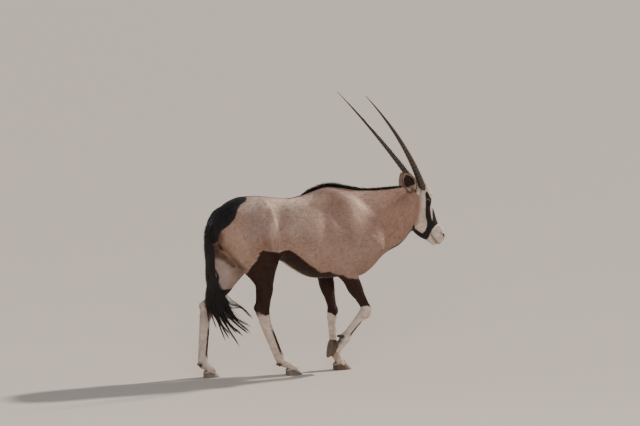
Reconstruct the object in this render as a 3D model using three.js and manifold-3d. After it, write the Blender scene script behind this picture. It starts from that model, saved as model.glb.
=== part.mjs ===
// A life-size walking gemsbok (Oryx gazella), in millimetres: +X is the way it walks, +Y its left side, +Z up.
// The right foreleg is lifted in mid stride and the other three feet stand flat on the floor at Z 0.
// The flesh is one smooth body of bones and muscles, and each named part is the piece of it between thin cuts.
import * as THREE from "three";
import { mergeVertices } from "three/addons/utils/BufferGeometryUtils.js";
import Module from "manifold-3d";

const wasm = await Module();
wasm.setup();

const RIGHT = -1;
const LEFT = 1;
const GAP = 0.3; // between parts that touch
const FAR = 2000; // longer than the animal
const at = (x, y, z) => new THREE.Vector3(x, y, z);

// The walking pose is drawn about a point under the withers, and this moves it over the middle of the floor plan.
const FLOOR_CENTRE = at(-18.1, 0, 0);

// Driving dimensions of the coat and the joints between parts
const HIND_CUT = 700; // height at which the hind legs leave the torso
const FORE_CUT = 585; // height at which the forelegs leave the torso
const HIND_CUT_FRONT = -287; // the hind cut ends here, at the fold of the flank
const FORE_CUT_BACK = -60; // the fore cut starts here, behind the elbows

// Value at x of a smooth line through the rows [x, value].
function along(rows, x) {
  const last = rows.length - 1;
  if (x <= rows[0][0]) return rows[0][1];
  if (x >= rows[last][0]) return rows[last][1];
  let i = 0;
  while (rows[i + 1][0] < x) i++;
  const [x0, v0] = rows[i];
  const [x1, v1] = rows[i + 1];
  const slope = (j) => {
    const a = rows[Math.max(j - 1, 0)];
    const b = rows[Math.min(j + 1, last)];
    return (b[1] - a[1]) / (b[0] - a[0]);
  };
  const w = x1 - x0;
  const t = (x - x0) / w;
  const t2 = t * t;
  const t3 = t2 * t;
  return (
    v0 * (2 * t3 - 3 * t2 + 1) +
    slope(i) * w * (t3 - 2 * t2 + t) +
    v1 * (3 * t2 - 2 * t3) +
    slope(i + 1) * w * (t3 - t2)
  );
}

// Distance fields: each takes x, y, z and gives about how far that point is outside the form.
function bone(a, b, ra, rb) {
  const ba = b.clone().sub(a);
  const l2 = ba.lengthSq();
  const rr = ra - rb;
  const a2 = l2 - rr * rr;
  return (x, y, z) => {
    const px = x - a.x;
    const py = y - a.y;
    const pz = z - a.z;
    const h = px * ba.x + py * ba.y + pz * ba.z;
    const g = h - l2;
    const qx = px * l2 - ba.x * h;
    const qy = py * l2 - ba.y * h;
    const qz = pz * l2 - ba.z * h;
    const x2 = qx * qx + qy * qy + qz * qz;
    const y2 = h * h * l2;
    const z2 = g * g * l2;
    const k = Math.sign(rr) * rr * rr * x2;
    if (Math.sign(g) * a2 * z2 > k) return Math.sqrt(x2 + z2) / l2 - rb;
    if (Math.sign(h) * a2 * y2 < k) return Math.sqrt(x2 + y2) / l2 - ra;
    return (Math.sqrt((x2 * a2) / l2) + h * rr) / l2 - ra;
  };
}

// A muscle belly between two points: half as wide as `wide` across Y and half as deep as `deep` the other way.
function muscle(a, b, wide, deep) {
  const centre = a.clone().add(b).multiplyScalar(0.5);
  const axis = b.clone().sub(a);
  const length = axis.length() / 2;
  axis.normalize();
  const side = at(0, 1, 0).addScaledVector(axis, -axis.y).normalize();
  const normal = axis.clone().cross(side);
  return (x, y, z) => {
    const dx = x - centre.x;
    const dy = y - centre.y;
    const dz = z - centre.z;
    const u = (dx * axis.x + dy * axis.y + dz * axis.z) / length;
    const v = (dx * side.x + dy * side.y + dz * side.z) / wide;
    const w = (dx * normal.x + dy * normal.y + dz * normal.z) / deep;
    const k0 = Math.hypot(u, v, w);
    const k1 = Math.hypot(u / length, v / wide, w / deep);
    return k1 < 1e-9 ? -Math.min(length, wide, deep) : (k0 * (k0 - 1)) / k1;
  };
}

// The forms run into one another over about the distance k.
function blend(k, forms) {
  return (x, y, z) => {
    let d = forms[0](x, y, z);
    for (let i = 1; i < forms.length; i++) {
      const e = forms[i](x, y, z);
      const h = Math.max(k - Math.abs(d - e), 0) / k;
      d = Math.min(d, e) - (h * h * k) / 4;
    }
    return d;
  };
}

// Trunk and neck: back line, belly line and half width at each X, with the height of the widest place.
const BACK = [
  [-728, 905], [-722, 955], [-708, 1000], [-684, 1036], [-645, 1072], [-592, 1106], [-527, 1127], [-428, 1129],
  [-330, 1119], [-264, 1109], [-198, 1107], [-131, 1121], [-64, 1148], [0, 1170], [56, 1178], [136, 1166],
  [203, 1151], [338, 1137], [473, 1140], [560, 1144], [620, 1120],
];
const BELLY = [
  [-728, 880], [-716, 830], [-670, 800], [-600, 780], [-500, 760], [-400, 745], [-330, 728], [-270, 712],
  [-205, 668], [-139, 625], [-86, 602], [-19, 592], [100, 592], [200, 596], [262, 606], [311, 633], [352, 662],
  [400, 703], [441, 731], [482, 750], [523, 770], [565, 806], [592, 842], [620, 880],
];
const HALF_WIDTH = [
  [-728, 22], [-716, 62], [-690, 92], [-640, 122], [-560, 146], [-480, 160], [-400, 170], [-330, 180],
  [-250, 195], [-150, 206], [-50, 203], [50, 186], [130, 170], [200, 158], [280, 146], [340, 134], [400, 122],
  [460, 111], [520, 102], [580, 94], [620, 86],
];
const WIDEST = [[-728, 0.55], [-500, 0.62], [-300, 0.5], [-100, 0.42], [100, 0.42], [300, 0.45], [620, 0.55]];
const BACK_ROUNDNESS = [[-728, 2.2], [-450, 2.3], [-250, 2.0], [-60, 1.55], [120, 1.5], [300, 1.7], [620, 2]];

function trunkForm(x, y, z) {
  const nearest = Math.min(Math.max(x, -722), 615);
  const back = along(BACK, nearest);
  const belly = along(BELLY, nearest);
  const wide = along(HALF_WIDTH, nearest);
  const middle = belly + (back - belly) * along(WIDEST, nearest);
  const high = z > middle ? back - middle : middle - belly;
  const n = z > middle ? along(BACK_ROUNDNESS, nearest) : 2.1;
  const out = Math.pow(Math.abs(y) / wide, n) + Math.pow(Math.abs(z - middle) / high, n);
  const inside = (Math.pow(out, 1 / n) - 1) * Math.min(wide, high) * 0.9;
  return inside + Math.abs(x - nearest) * 1.2;
}

// Head, in its own two lines: u runs down the face from the horns to the lip, and v from the face to the jaw.
const FACE_TOP = at(712, 0, 1130);
const FACE_LIP = at(842, 0, 822);
const FACE_DOWN = FACE_LIP.clone().sub(FACE_TOP).normalize();
const FACE_IN = at(FACE_DOWN.z, 0, -FACE_DOWN.x);
const HEAD_U = [-62, 372];
const FACE_LINE = [
  [-62, 78], [-45, 36], [-20, 12], [5, -5], [32, -16], [66, -14], [108, -1], [156, 4], [190, 7], [218, 9],
  [245, 9], [265, 5], [285, 0], [305, 0], [322, 1], [338, 5], [352, 14], [364, 28], [372, 46],
];
const JAW_LINE = [
  [-62, 92], [-45, 130], [-20, 150], [30, 165], [90, 178], [150, 188], [200, 190], [235, 183], [265, 168],
  [290, 150], [311, 130], [330, 114], [345, 102], [358, 88], [366, 74], [372, 60],
];
const HEAD_HALF_WIDTH = [
  [-62, 22], [-45, 52], [-20, 66], [20, 74], [60, 78], [95, 76], [130, 68], [170, 58], [215, 48], [250, 43],
  [280, 42], [310, 43], [335, 40], [355, 32], [368, 20], [372, 10],
];
const HEAD_WIDEST = [[-62, 0.5], [0, 0.42], [60, 0.36], [130, 0.45], [200, 0.5], [280, 0.5], [372, 0.5]];

function headForm(x, y, z) {
  const dx = x - FACE_TOP.x;
  const dz = z - FACE_TOP.z;
  const u = dx * FACE_DOWN.x + dz * FACE_DOWN.z;
  const v = dx * FACE_IN.x + dz * FACE_IN.z;
  const nearest = Math.min(Math.max(u, HEAD_U[0] + 2), HEAD_U[1] - 2);
  const face = along(FACE_LINE, nearest);
  const jaw = along(JAW_LINE, nearest);
  const wide = along(HEAD_HALF_WIDTH, nearest);
  const middle = face + (jaw - face) * along(HEAD_WIDEST, nearest);
  const high = v < middle ? middle - face : jaw - middle;
  const n = v < middle ? 2.5 : 2.0;
  const out = Math.pow(Math.abs(y) / wide, n) + Math.pow(Math.abs(v - middle) / high, n);
  return (Math.pow(out, 1 / n) - 1) * Math.min(wide, high) * 0.9 + Math.abs(u - nearest);
}

// A point of the head: u down the face, v into it, y to the side.
const inHead = (u, v, y) =>
  FACE_TOP.clone().addScaledVector(FACE_DOWN, u).addScaledVector(FACE_IN, v).setY(y);

const EYE_RADIUS = 18;
const EYE = [62, 32, 62]; // u, v and y of the eyeball's middle

function headDetails(side) {
  const p = (u, v, y) => inHead(u, v, side * y);
  return [
    bone(p(34, 24, 56), p(92, 34, 58), 20, 13), // brow and rim of the eye socket
    bone(p(4, 14, 42), p(44, 6, 50), 27, 21), // forehead above the eye
    bone(p(96, 62, 55), p(180, 62, 42), 20, 12), // cheek bone
    muscle(p(80, 120, 48), p(215, 150, 40), 30, 48), // jaw muscle
    bone(p(-4, 28, 34), p(-26, 26, 37), 30, 28), // boss under the horn
    muscle(p(262, 18, 26), p(338, 34, 26), 18, 24), // nostril wing
    muscle(p(250, 66, 22), p(352, 72, 18), 22, 22), // upper lip
    bone(p(300, 104, 14), p(350, 92, 10), 17, 12), // lower lip and chin
    bone(p(10, 118, 58), p(-14, 112, 76), 26, 20), // root of the ear
  ];
}

// Hind limb from the hip down. Joints are points of the pose.
const HIND = {
  [RIGHT]: {
    hip: at(-560, -112, 965), stifle: at(-398, -128, 716), hock: at(-414, -84, 394), fetlock: at(-288, -62, 92),
    coronet: at(-226, -60, 54), heelward: at(-1, 0, 0.35), sole: at(-219, -60, 0), pitch: 0, point: 44,
  },
  [LEFT]: {
    hip: at(-575, 112, 965), stifle: at(-470, 132, 708), hock: at(-728, 84, 424), fetlock: at(-761, 70, 88),
    coronet: at(-722, 66, 54), heelward: at(-1, 0, -0.1), sole: at(-720, 66, 0), pitch: 0, point: 30,
  },
};

// Offset from a joint along the walking line, sideways and up.
const off = (p, dx, dy, dz) => at(p.x + dx, p.y + dy, p.z + dz);
const mix = (a, b, t) => a.clone().lerp(b, t);

function hindForms(side) {
  const j = HIND[side];
  const s = side;
  const pin = at(-676, s * 62, 955);
  const calf = mix(j.stifle, j.hock, 0.3);
  const back = j.heelward.clone().normalize();
  const behind = (p, d) => p.clone().addScaledVector(back, d);
  const heel = behind(j.hock, j.point).add(at(0, 0, 30));
  return {
    haunch: [
      muscle(at(-395, s * 108, 1085), mix(j.hip, j.stifle, 0.75), 62, 92), // gluteal mass
      muscle(off(j.hip, -50, 0, 90), behind(calf, 20), 74, 118), // biceps of the thigh
      bone(pin, behind(calf, 58), 44, 38), // hamstring to the calf
      bone(off(j.hip, 90, 0, 10), off(j.stifle, -4, 0, 14), 76, 54), // front of the thigh
      muscle(at(-340, s * 118, 860), off(j.stifle, 40, 2, 0), 26, 42), // fold of the flank
    ],
    shank: [
      bone(j.stifle, mix(j.stifle, j.hock, 0.55), 60, 42),
      bone(behind(calf, 28), behind(mix(j.stifle, j.hock, 0.6), 16), 54, 34),
      bone(mix(j.stifle, j.hock, 0.5), off(j.hock, 4, 0, 12), 44, 33),
      bone(behind(mix(j.stifle, j.hock, 0.55), 34), heel, 20, 15), // Achilles tendon
      bone(heel, behind(j.hock, 14), 19, 30), // point of the hock
    ],
    ...cannonForms(j, 26, 22),
  };
}

// Cannon bone with its tendon, the fetlock and the two pasterns. ra and rb are the cannon's radii.
function cannonForms(j, ra, rb) {
  const top = j.hock || j.knee;
  const line = j.fetlock.clone().sub(top).normalize();
  const back = j.heelward.clone().addScaledVector(line, -j.heelward.dot(line)).normalize();
  const behind = (p, d) => p.clone().addScaledVector(back, d);
  const upper = mix(top, j.fetlock, 0.12);
  const lower = mix(top, j.fetlock, 0.9);
  const across = at(0, 1, 0);
  const toes = [-1, 1].map((t) =>
    bone(
      j.fetlock.clone().addScaledVector(across, t * 10),
      j.coronet.clone().addScaledVector(across, t * 18)
        .addScaledVector(j.coronet.clone().sub(j.fetlock).normalize(), 14),
      23,
      20,
    ),
  );
  return {
    cannon: [
      bone(top, upper, ra + 8, ra + 1),
      bone(upper, lower, ra, rb),
      bone(behind(upper, ra * 1.05), behind(lower, rb), ra * 0.66, rb * 0.76),
      bone(lower, j.fetlock, rb + 1, 26),
      bone(behind(j.fetlock, 10), behind(mix(j.fetlock, j.coronet, 0.4), 8), 22, 16),
      ...toes,
    ],
    back,
  };
}

// Forelimb from the shoulder down
const FORE = {
  [RIGHT]: {
    blade: at(40, -70, 1120), shoulder: at(345, -118, 800), elbow: at(125, -124, 655), knee: at(268, -86, 372),
    fetlock: at(128, -84, 212), coronet: at(83, -84, 160), heelward: at(-0.6, 0, 1), sole: at(21, -84, 166),
    pitch: 103,
  },
  [LEFT]: {
    blade: at(20, 70, 1120), shoulder: at(335, 118, 800), elbow: at(60, 122, 650), knee: at(92, 44, 362),
    fetlock: at(96, 20, 112), coronet: at(122, 14, 58), heelward: at(-1, 0, 0), sole: at(128, 12, 0), pitch: 0,
  },
};

function foreForms(side) {
  const j = FORE[side];
  const s = side;
  return {
    shoulder: [
      muscle(off(j.blade, -50, 0, 20), off(j.shoulder, 10, 0, -20), 46, 105), // shoulder blade
      bone(off(j.shoulder, -30, -8 * s, 0), j.elbow, 62, 54), // upper arm
      muscle(off(j.blade, -30, 30 * s, -120), off(j.elbow, 10, 0, -30), 52, 92), // triceps
      muscle(at(380, s * 56, 880), off(j.elbow, 70, -50 * s, -40), 62, 75), // breast
    ],
    forearm: [
      bone(off(j.elbow, 8, -4 * s, 0), mix(j.elbow, j.knee, 0.45), 56, 41),
      bone(mix(j.elbow, j.knee, 0.4), off(j.knee, 0, 0, 26), 42, 28),
      bone(off(j.elbow, -24, -4 * s, 4), mix(j.elbow, j.knee, 0.55), 34, 28),
      bone(off(j.knee, 1, 0, 14), off(j.knee, 0, 0, -12), 30, 29),
    ],
    ...cannonForms(j, 21, 18),
  };
}

const LIMBS = {
  hind_right: hindForms(RIGHT), hind_left: hindForms(LEFT),
  fore_right: foreForms(RIGHT), fore_left: foreForms(LEFT),
};
const JOINTS = {
  hind_right: HIND[RIGHT], hind_left: HIND[LEFT], fore_right: FORE[RIGHT], fore_left: FORE[LEFT],
};

const BODY = blend(42, [
  trunkForm,
  ...LIMBS.hind_right.haunch, ...LIMBS.hind_left.haunch,
  ...LIMBS.fore_right.shoulder, ...LIMBS.fore_left.shoulder,
]);
const HEAD = blend(16, [headForm, ...headDetails(RIGHT), ...headDetails(LEFT)]);
const FORE_QUARTERS = blend(34, [BODY, HEAD]);

// Whole body with the tops of the legs, each limb blended only with the trunk.
function withLimbs(names) {
  const limbs = names.map((n) => {
    const l = LIMBS[n];
    return blend(22, [...(l.shank || l.forearm), ...l.cannon]);
  });
  return (x, y, z) => {
    let d = BODY(x, y, z);
    for (const limb of limbs) {
      const e = limb(x, y, z);
      const h = Math.max(30 - Math.abs(d - e), 0) / 30;
      d = Math.min(d, e) - h * h * 7.5;
    }
    return d;
  };
}
const WHOLE = withLimbs(Object.keys(LIMBS));

const larger = (form, grow) => (x, y, z) => form(x, y, z) - grow;

// A closed tube round a line of ring planes. Each corner lies where a ray from the ring's middle leaves the form.
function skin(rings, sides, form, { reach = 420, caps = [0, 0], turn = 0 } = {}) {
  const points = [];
  const faces = [];
  const middles = rings.map((r) => r.c);
  rings.forEach(({ c, n }) => {
    const side = at(0, 1, 0).addScaledVector(n, -n.y).normalize();
    const up = n.clone().cross(side);
    for (let j = 0; j < sides; j++) {
      const a = turn + (2 * Math.PI * j) / sides;
      const dir = side.clone().multiplyScalar(Math.cos(a)).addScaledVector(up, Math.sin(a));
      points.push(c.clone().addScaledVector(dir, leaves(form, c, dir, reach)));
    }
  });
  for (let i = 0; i + 1 < rings.length; i++)
    for (let j = 0; j < sides; j++) {
      const k = (j + 1) % sides;
      const [a, b, c, d] = [i * sides + j, i * sides + k, (i + 1) * sides + j, (i + 1) * sides + k];
      faces.push([a, b, c], [b, d, c]);
    }
  const ends = [0, rings.length - 1];
  ends.forEach((ring, e) => {
    const centre = middles[ring].clone().addScaledVector(rings[ring].n, (e ? 1 : -1) * caps[e]);
    const m = points.push(centre) - 1;
    for (let j = 0; j < sides; j++) {
      const k = (j + 1) % sides;
      faces.push(e ? [m, ring * sides + j, ring * sides + k] : [m, ring * sides + k, ring * sides + j]);
    }
  });
  return solid(points, faces);
}

// How far a ray from c, inside the form, goes before it comes out.
function leaves(form, c, dir, reach) {
  const step = 5;
  let r = 1;
  const f = (t) => form(c.x + dir.x * t, c.y + dir.y * t, c.z + dir.z * t);
  while (r < reach && f(r) < 0) r += Math.max(step, -f(r) * 0.4);
  let lo = Math.max(r - Math.max(step, 40), 0.5);
  while (lo > 1 && f(lo) > 0) lo -= step;
  let hi = Math.min(r, reach);
  for (let i = 0; i < 22; i++) {
    const mid = (lo + hi) / 2;
    if (f(mid) < 0) lo = mid;
    else hi = mid;
  }
  return Math.max(lo, 1);
}

function solid(points, faces) {
  const vertProperties = new Float32Array(points.flatMap((p) => [p.x, p.y, p.z]));
  const triVerts = new Uint32Array(faces.flat());
  return new wasm.Manifold(new wasm.Mesh({ numProp: 3, vertProperties, triVerts }));
}

// A three.js geometry as a solid
function solidOf(geometry) {
  const g = geometry.clone();
  g.deleteAttribute("normal");
  g.deleteAttribute("uv");
  const merged = mergeVertices(g, 1e-4);
  return new wasm.Manifold(
    new wasm.Mesh({
      numProp: 3,
      vertProperties: new Float32Array(merged.attributes.position.array),
      triVerts: new Uint32Array(merged.index.array),
    }),
  );
}

const join = (solids) => solids.reduce((a, b) => a.add(b));

// The largest closed surface of a solid, which drops any loose scrap
function largest(s) {
  return s.decompose().reduce((a, b) => (b.volume() > a.volume() ? b : a));
}

function block(low, high) {
  const size = high.clone().sub(low);
  const g = new THREE.BoxGeometry(size.x, size.y, size.z);
  const middle = low.clone().add(high).multiplyScalar(0.5);
  g.translate(middle.x, middle.y, middle.z);
  return solidOf(g);
}

// All that lies beyond the plane through c whose normal is n
function beyond(c, n) {
  const g = new THREE.BoxGeometry(FAR, FAR, FAR);
  g.translate(0, 0, FAR / 2);
  g.applyQuaternion(new THREE.Quaternion().setFromUnitVectors(at(0, 0, 1), n.clone().normalize()));
  g.translate(c.x, c.y, c.z);
  return solidOf(g);
}

// Ring planes along a line of stations [x, y, z, lean], where lean tips the plane's normal up from +X in degrees.
function ringLine(stations, count, ease = (t) => t) {
  const curve = new THREE.CatmullRomCurve3(stations.map((s) => at(s[0], s[1], s[2])), false, "centripetal");
  const rings = [];
  for (let i = 0; i < count; i++) {
    const t = ease(i / (count - 1));
    const f = t * (stations.length - 1);
    const k = Math.min(Math.floor(f), stations.length - 2);
    const lean = THREE.MathUtils.lerp(stations[k][3], stations[k + 1][3], f - k);
    const a = THREE.MathUtils.degToRad(lean);
    rings.push({ c: curve.getPoint(t), n: at(Math.cos(a), 0, Math.sin(a)) });
  }
  return rings;
}

// The plane between torso and neck, and the one between neck and head: middle and lean
const NECK_ROOT = [282, 0, 905, 25];
const HEAD_ROOT = [590, 0, 1000, 10];
const shifted = (station, d) => {
  const a = THREE.MathUtils.degToRad(station[3]);
  return [station[0] + d * Math.cos(a), station[1], station[2] + d * Math.sin(a), station[3]];
};

function torso(grow = 0) {
  const floorOfTorso = (x, y, z) => {
    const lowest = x < HIND_CUT_FRONT - 10 ? HIND_CUT - 30 : FORE_CUT - 25;
    return Math.max(WHOLE(x, y, z) - grow, lowest - z);
  };
  const rings = ringLine(
    [
      [-724, 0, 925, 0], [-690, 0, 925, 0], [-620, 0, 930, 0], [-520, 0, 935, 0], [-420, 0, 930, 0], [-300, 0, 915, 0],
      [-180, 0, 890, 0], [-60, 0, 890, 2], [60, 0, 890, 8], [170, 0, 895, 17], shifted(NECK_ROOT, grow - GAP / 2),
    ],
    28,
  );
  const whole = skin(rings, 30, floorOfTorso, { caps: [4 + grow, 0] });
  const hindCut = block(at(-FAR, -FAR, 0), at(HIND_CUT_FRONT, FAR, HIND_CUT + GAP / 2));
  const foreCut = block(at(FORE_CUT_BACK, -FAR, 0), at(FAR, FAR, FORE_CUT + GAP / 2));
  return whole.subtract(hindCut).subtract(foreCut);
}

// The neck, or with grow above 0 the same a little larger, to cut what is set against it
function neck(grow = 0) {
  const rings = ringLine(
    [
      shifted(NECK_ROOT, GAP / 2 - grow), [370, 0, 935, 22], [450, 0, 960, 17], [520, 0, 980, 13],
      shifted(HEAD_ROOT, grow - GAP / 2),
    ],
    11,
  );
  return skin(rings, 28, larger(FORE_QUARTERS, grow));
}

// Where the plane of a station crosses the plane through p square to the face, in the animal's middle plane
function meet(station, p) {
  const a = THREE.MathUtils.degToRad(station[3]);
  const n = at(Math.cos(a), 0, Math.sin(a));
  const one = n.dot(at(station[0], 0, station[2]));
  const two = FACE_DOWN.dot(p);
  const det = n.x * FACE_DOWN.z - n.z * FACE_DOWN.x;
  return at((one * FACE_DOWN.z - n.z * two) / det, 0, (n.x * two - one * FACE_DOWN.x) / det);
}

// Rings swing round a point under the throat from the plane of the neck to the plane across the muzzle.
const MUZZLE_FROM = 236;
function head(grow = 0) {
  const rings = [];
  const from = shifted(HEAD_ROOT, GAP / 2 - Math.max(grow, 0));
  const swing = meet(from, inHead(MUZZLE_FROM, 0, 0));
  const muzzleLean = THREE.MathUtils.radToDeg(Math.atan2(FACE_DOWN.z, FACE_DOWN.x));
  const swings = 17;
  for (let i = 0; i < swings; i++) {
    const t = i / (swings - 1);
    const a = THREE.MathUtils.degToRad(THREE.MathUtils.lerp(from[3], muzzleLean, t));
    const n = at(Math.cos(a), 0, Math.sin(a));
    const outward = at(-n.z, 0, n.x);
    const root = at(from[0], 0, from[2]);
    const start = root.clone().sub(swing).dot(outward);
    const c = swing.clone().addScaledVector(outward, THREE.MathUtils.lerp(start, 108, Math.pow(t, 0.8)));
    if (i === 0) c.copy(root);
    rings.push({ c, n });
  }
  const last = 366;
  const muzzles = 12;
  for (let i = 1; i <= muzzles; i++) {
    const u = THREE.MathUtils.lerp(MUZZLE_FROM, last, Math.pow(i / muzzles, 0.85));
    rings.push({ c: inHead(u, THREE.MathUtils.lerp(98, 56, i / muzzles), 0), n: FACE_DOWN });
  }
  return skin(rings, 28, larger(FORE_QUARTERS, grow), { caps: [0, 8 + grow] });
}

// The lower leg's rings lean from level at the cut to square across the limb.
function legRings(points, count, startLevel) {
  const curve = new THREE.CatmullRomCurve3(points, false, "centripetal");
  const rings = [];
  for (let i = 0; i < count; i++) {
    const t = i / (count - 1);
    const c = curve.getPoint(t);
    const n = curve.getTangent(t);
    const level = startLevel ? Math.max(0, 1 - t * 3) : 0;
    rings.push({ c, n: n.lerp(at(0, 0, -1), level).normalize() });
  }
  return rings;
}

function limbForm(name) {
  const l = LIMBS[name];
  const own = [...(l.shank || l.forearm), ...l.cannon];
  const upper = l.haunch || l.shoulder;
  return blend(22, [...own, blend(30, upper)]);
}

function limbNodes(name) {
  const j = JOINTS[name];
  const form = limbForm(name);
  const hind = name.startsWith("hind");
  const cut = (hind ? HIND_CUT : FORE_CUT) - GAP / 2;
  const bend = j.hock || j.knee;
  const start = hind ? mix(j.hip, j.stifle, (j.hip.z - cut) / (j.hip.z - j.stifle.z)) : mix(j.elbow, j.knee, 0.24);
  start.z = cut;
  if (hind) start.x -= 20;
  const split = mix(bend, j.fetlock, 0.16);
  const upperPoints = hind
    ? [
      start, mix(j.stifle, bend, 0.3).add(at(-14, 0, 0)), mix(j.stifle, bend, 0.62), mix(j.stifle, bend, 0.86),
      bend, split,
    ]
    : [start, mix(j.elbow, j.knee, 0.45), mix(j.elbow, j.knee, 0.72), bend, split];
  const upperRings = legRings(upperPoints, hind ? 13 : 11, true);
  const last = upperRings[upperRings.length - 1];
  last.c.addScaledVector(last.n, -GAP / 2);
  const lowerPoints = [
    split.clone().addScaledVector(last.n, GAP / 2), mix(bend, j.fetlock, 0.5), mix(bend, j.fetlock, 0.86),
    j.fetlock, mix(j.fetlock, j.coronet, 0.55),
  ];
  const lowerRings = legRings(lowerPoints, 9, false);
  lowerRings[0].n = last.n.clone();
  const shaft = skin(lowerRings, 12, form, { reach: 90 });
  const toes = [-1, 1].map((t) => {
    const a = mix(j.fetlock, j.coronet, 0.3).add(at(0, t * 10, 0));
    const end = j.coronet.clone().add(at(0, t * 18, 0));
    const tip = end.clone().addScaledVector(end.clone().sub(a).normalize(), 26);
    const bulb = end.clone().addScaledVector(LIMBS[name].back, 26);
    const toe = blend(12, [bone(a, tip, 20, 15), bone(mix(a, end, 0.4), mix(bulb, tip, 0.45), 19, 16)]);
    return skin(legRings([a, mix(a, tip, 0.5), tip], 4, false), 8, toe, { reach: 60, caps: [16, 9] });
  });
  const back = last.n.clone().negate();
  return {
    upper: skin(upperRings, 20, form, { reach: 240 }).subtract(beyond(last.c, last.n)),
    lower: join([shaft, ...toes]).subtract(beyond(lowerRings[0].c, back)),
  };
}

// One claw of a cloven hoof, sole down and toe to +X. grow swells it for the gap round it.
const CLAW = { toe: 66, heel: 42, wide: 33, high: 54, heelHigh: 34, lean: 34 };
function claw(side, scale, grow = 0) {
  const sides = 12;
  const levels = [0, 0.12, 0.55, 1];
  const points = [];
  const faces = [];
  levels.forEach((h) => {
    for (let j = 0; j < sides; j++) {
      const a = (2 * Math.PI * j) / sides;
      const c = Math.cos(a);
      const s = Math.sin(a);
      const toe = (c > 0 ? CLAW.toe * Math.pow(c, 1.15) : -CLAW.heel * Math.pow(-c, 0.85)) * scale;
      const outer = s > 0 ? CLAW.wide * Math.pow(s, 0.9) : -3 * Math.pow(-s, 0.5);
      const flare = 1 - 0.16 * h + (h > 0 && h < 0.3 ? 0.02 : 0);
      const x = toe * (1 - 0.3 * h) - CLAW.lean * h * (c > 0 ? 1 : 0.35) * (0.4 + 0.6 * Math.abs(c));
      const y = 4.6 + (outer * flare + (s > 0 ? 0 : 2 * h)) * scale;
      const top = THREE.MathUtils.lerp(CLAW.heelHigh, CLAW.high, (c + 1) / 2) * scale;
      points.push(at(x + grow * c, side * (y + grow * s), h * (top + grow) - (h === 0 ? grow : 0)));
    }
  });
  const flip = side < 0;
  const add = (a, b, c) => faces.push(flip ? [a, c, b] : [a, b, c]);
  for (let i = 0; i + 1 < levels.length; i++)
    for (let j = 0; j < sides; j++) {
      const k = (j + 1) % sides;
      const [a, b, c, d] = [i * sides + j, i * sides + k, (i + 1) * sides + j, (i + 1) * sides + k];
      add(a, b, c);
      add(b, d, c);
    }
  const bottom = points.push(at(4 * scale, side * 14 * scale, -grow)) - 1;
  const topCentre = at(-12 * scale, side * 16 * scale, (CLAW.high - 4) * scale + 2.5 * grow);
  const crown = points.push(topCentre) - 1;
  const over = (levels.length - 1) * sides;
  for (let j = 0; j < sides; j++) {
    const k = (j + 1) % sides;
    add(bottom, k, j);
    add(crown, over + j, over + k);
  }
  return solid(points, faces);
}

function placed(s, position, pitch) {
  const m = new THREE.Matrix4().makeRotationY(THREE.MathUtils.degToRad(pitch));
  m.setPosition(position);
  return s.transform(m.elements);
}

// Dew claws: a pair of blunt cones behind each fetlock
function dewClaw(name, t, grow = 0) {
  const j = JOINTS[name];
  const back = LIMBS[name].back;
  const down = j.coronet.clone().sub(j.fetlock).normalize();
  const a = j.fetlock.clone().addScaledVector(back, 20).add(at(0, t * 14, 0)).addScaledVector(down, 2);
  const b = a.clone().addScaledVector(back, 22).add(at(0, t * 7, 0)).addScaledVector(down, 15);
  const form = bone(a, b, 13 + grow, 7 + grow);
  return skin(legRings([a, mix(a, b, 0.5), b], 3, false), 6, form, { reach: 40, caps: [11 + grow, 6.5 + grow] });
}

// A closed tube through ring planes, `stretch` across and deep, with a short point at its end
function tube(rings, radii, sides, stretch = [1, 1]) {
  const points = [];
  const faces = [];
  rings.forEach(({ c, n }, i) => {
    const across = at(0, 1, 0).addScaledVector(n, -n.y).normalize();
    const up = n.clone().cross(across);
    for (let j = 0; j < sides; j++) {
      const a = (2 * Math.PI * j) / sides;
      const wide = radii[i] * stretch[0] * Math.cos(a);
      points.push(c.clone().addScaledVector(across, wide).addScaledVector(up, radii[i] * stretch[1] * Math.sin(a)));
    }
  });
  for (let i = 0; i + 1 < rings.length; i++)
    for (let j = 0; j < sides; j++) {
      const k = (j + 1) % sides;
      const [a, b, c, d] = [i * sides + j, i * sides + k, (i + 1) * sides + j, (i + 1) * sides + k];
      faces.push([a, b, c], [b, d, c]);
    }
  const last = rings.length - 1;
  const foot = points.push(rings[0].c.clone().addScaledVector(rings[0].n, -1)) - 1;
  const point = points.push(rings[last].c.clone().addScaledVector(rings[last].n, 2 * radii[last])) - 1;
  for (let j = 0; j < sides; j++) {
    const k = (j + 1) % sides;
    faces.push([foot, k, j], [point, last * sides + j, last * sides + k]);
  }
  return solid(points, faces);
}

// A tube along a curve, with its radius from rows of [share of the length, radius]
function curveTube(points, radii, count, sides, stretch) {
  const curve = new THREE.CatmullRomCurve3(points, false, "centripetal");
  const rings = [];
  const sizes = [];
  for (let i = 0; i < count; i++) {
    const t = i / (count - 1);
    rings.push({ c: curve.getPoint(t), n: curve.getTangent(t) });
    sizes.push(along(radii, t));
  }
  return tube(rings, sizes, sides, stretch);
}

// Horns: ringed in the lower part, smooth and sharp above
const HORN = { length: 825, root: 26.5, tip: 1.6, rings: 17, ringed: 0.56, x: 687, z: 1115 };
function hornPoint(side, s) {
  const m = s / 1000;
  const lean0 = 0.506;
  const bend = 0.32;
  const spread = 0.476;
  const inCurve = 0.255;
  let x = HORN.x;
  let z = HORN.z;
  const steps = 24;
  for (let i = 0; i < steps; i++) {
    const t = (m * (i + 0.5)) / steps;
    const outward = spread - 2 * inCurve * t;
    const along = (Math.sqrt(1 - outward * outward) * m * 1000) / steps;
    x -= Math.sin(lean0 + bend * t) * along;
    z += Math.cos(lean0 + bend * t) * along;
  }
  return at(x, side * (34 + (spread * m - inCurve * m * m) * 1000), z);
}

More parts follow.
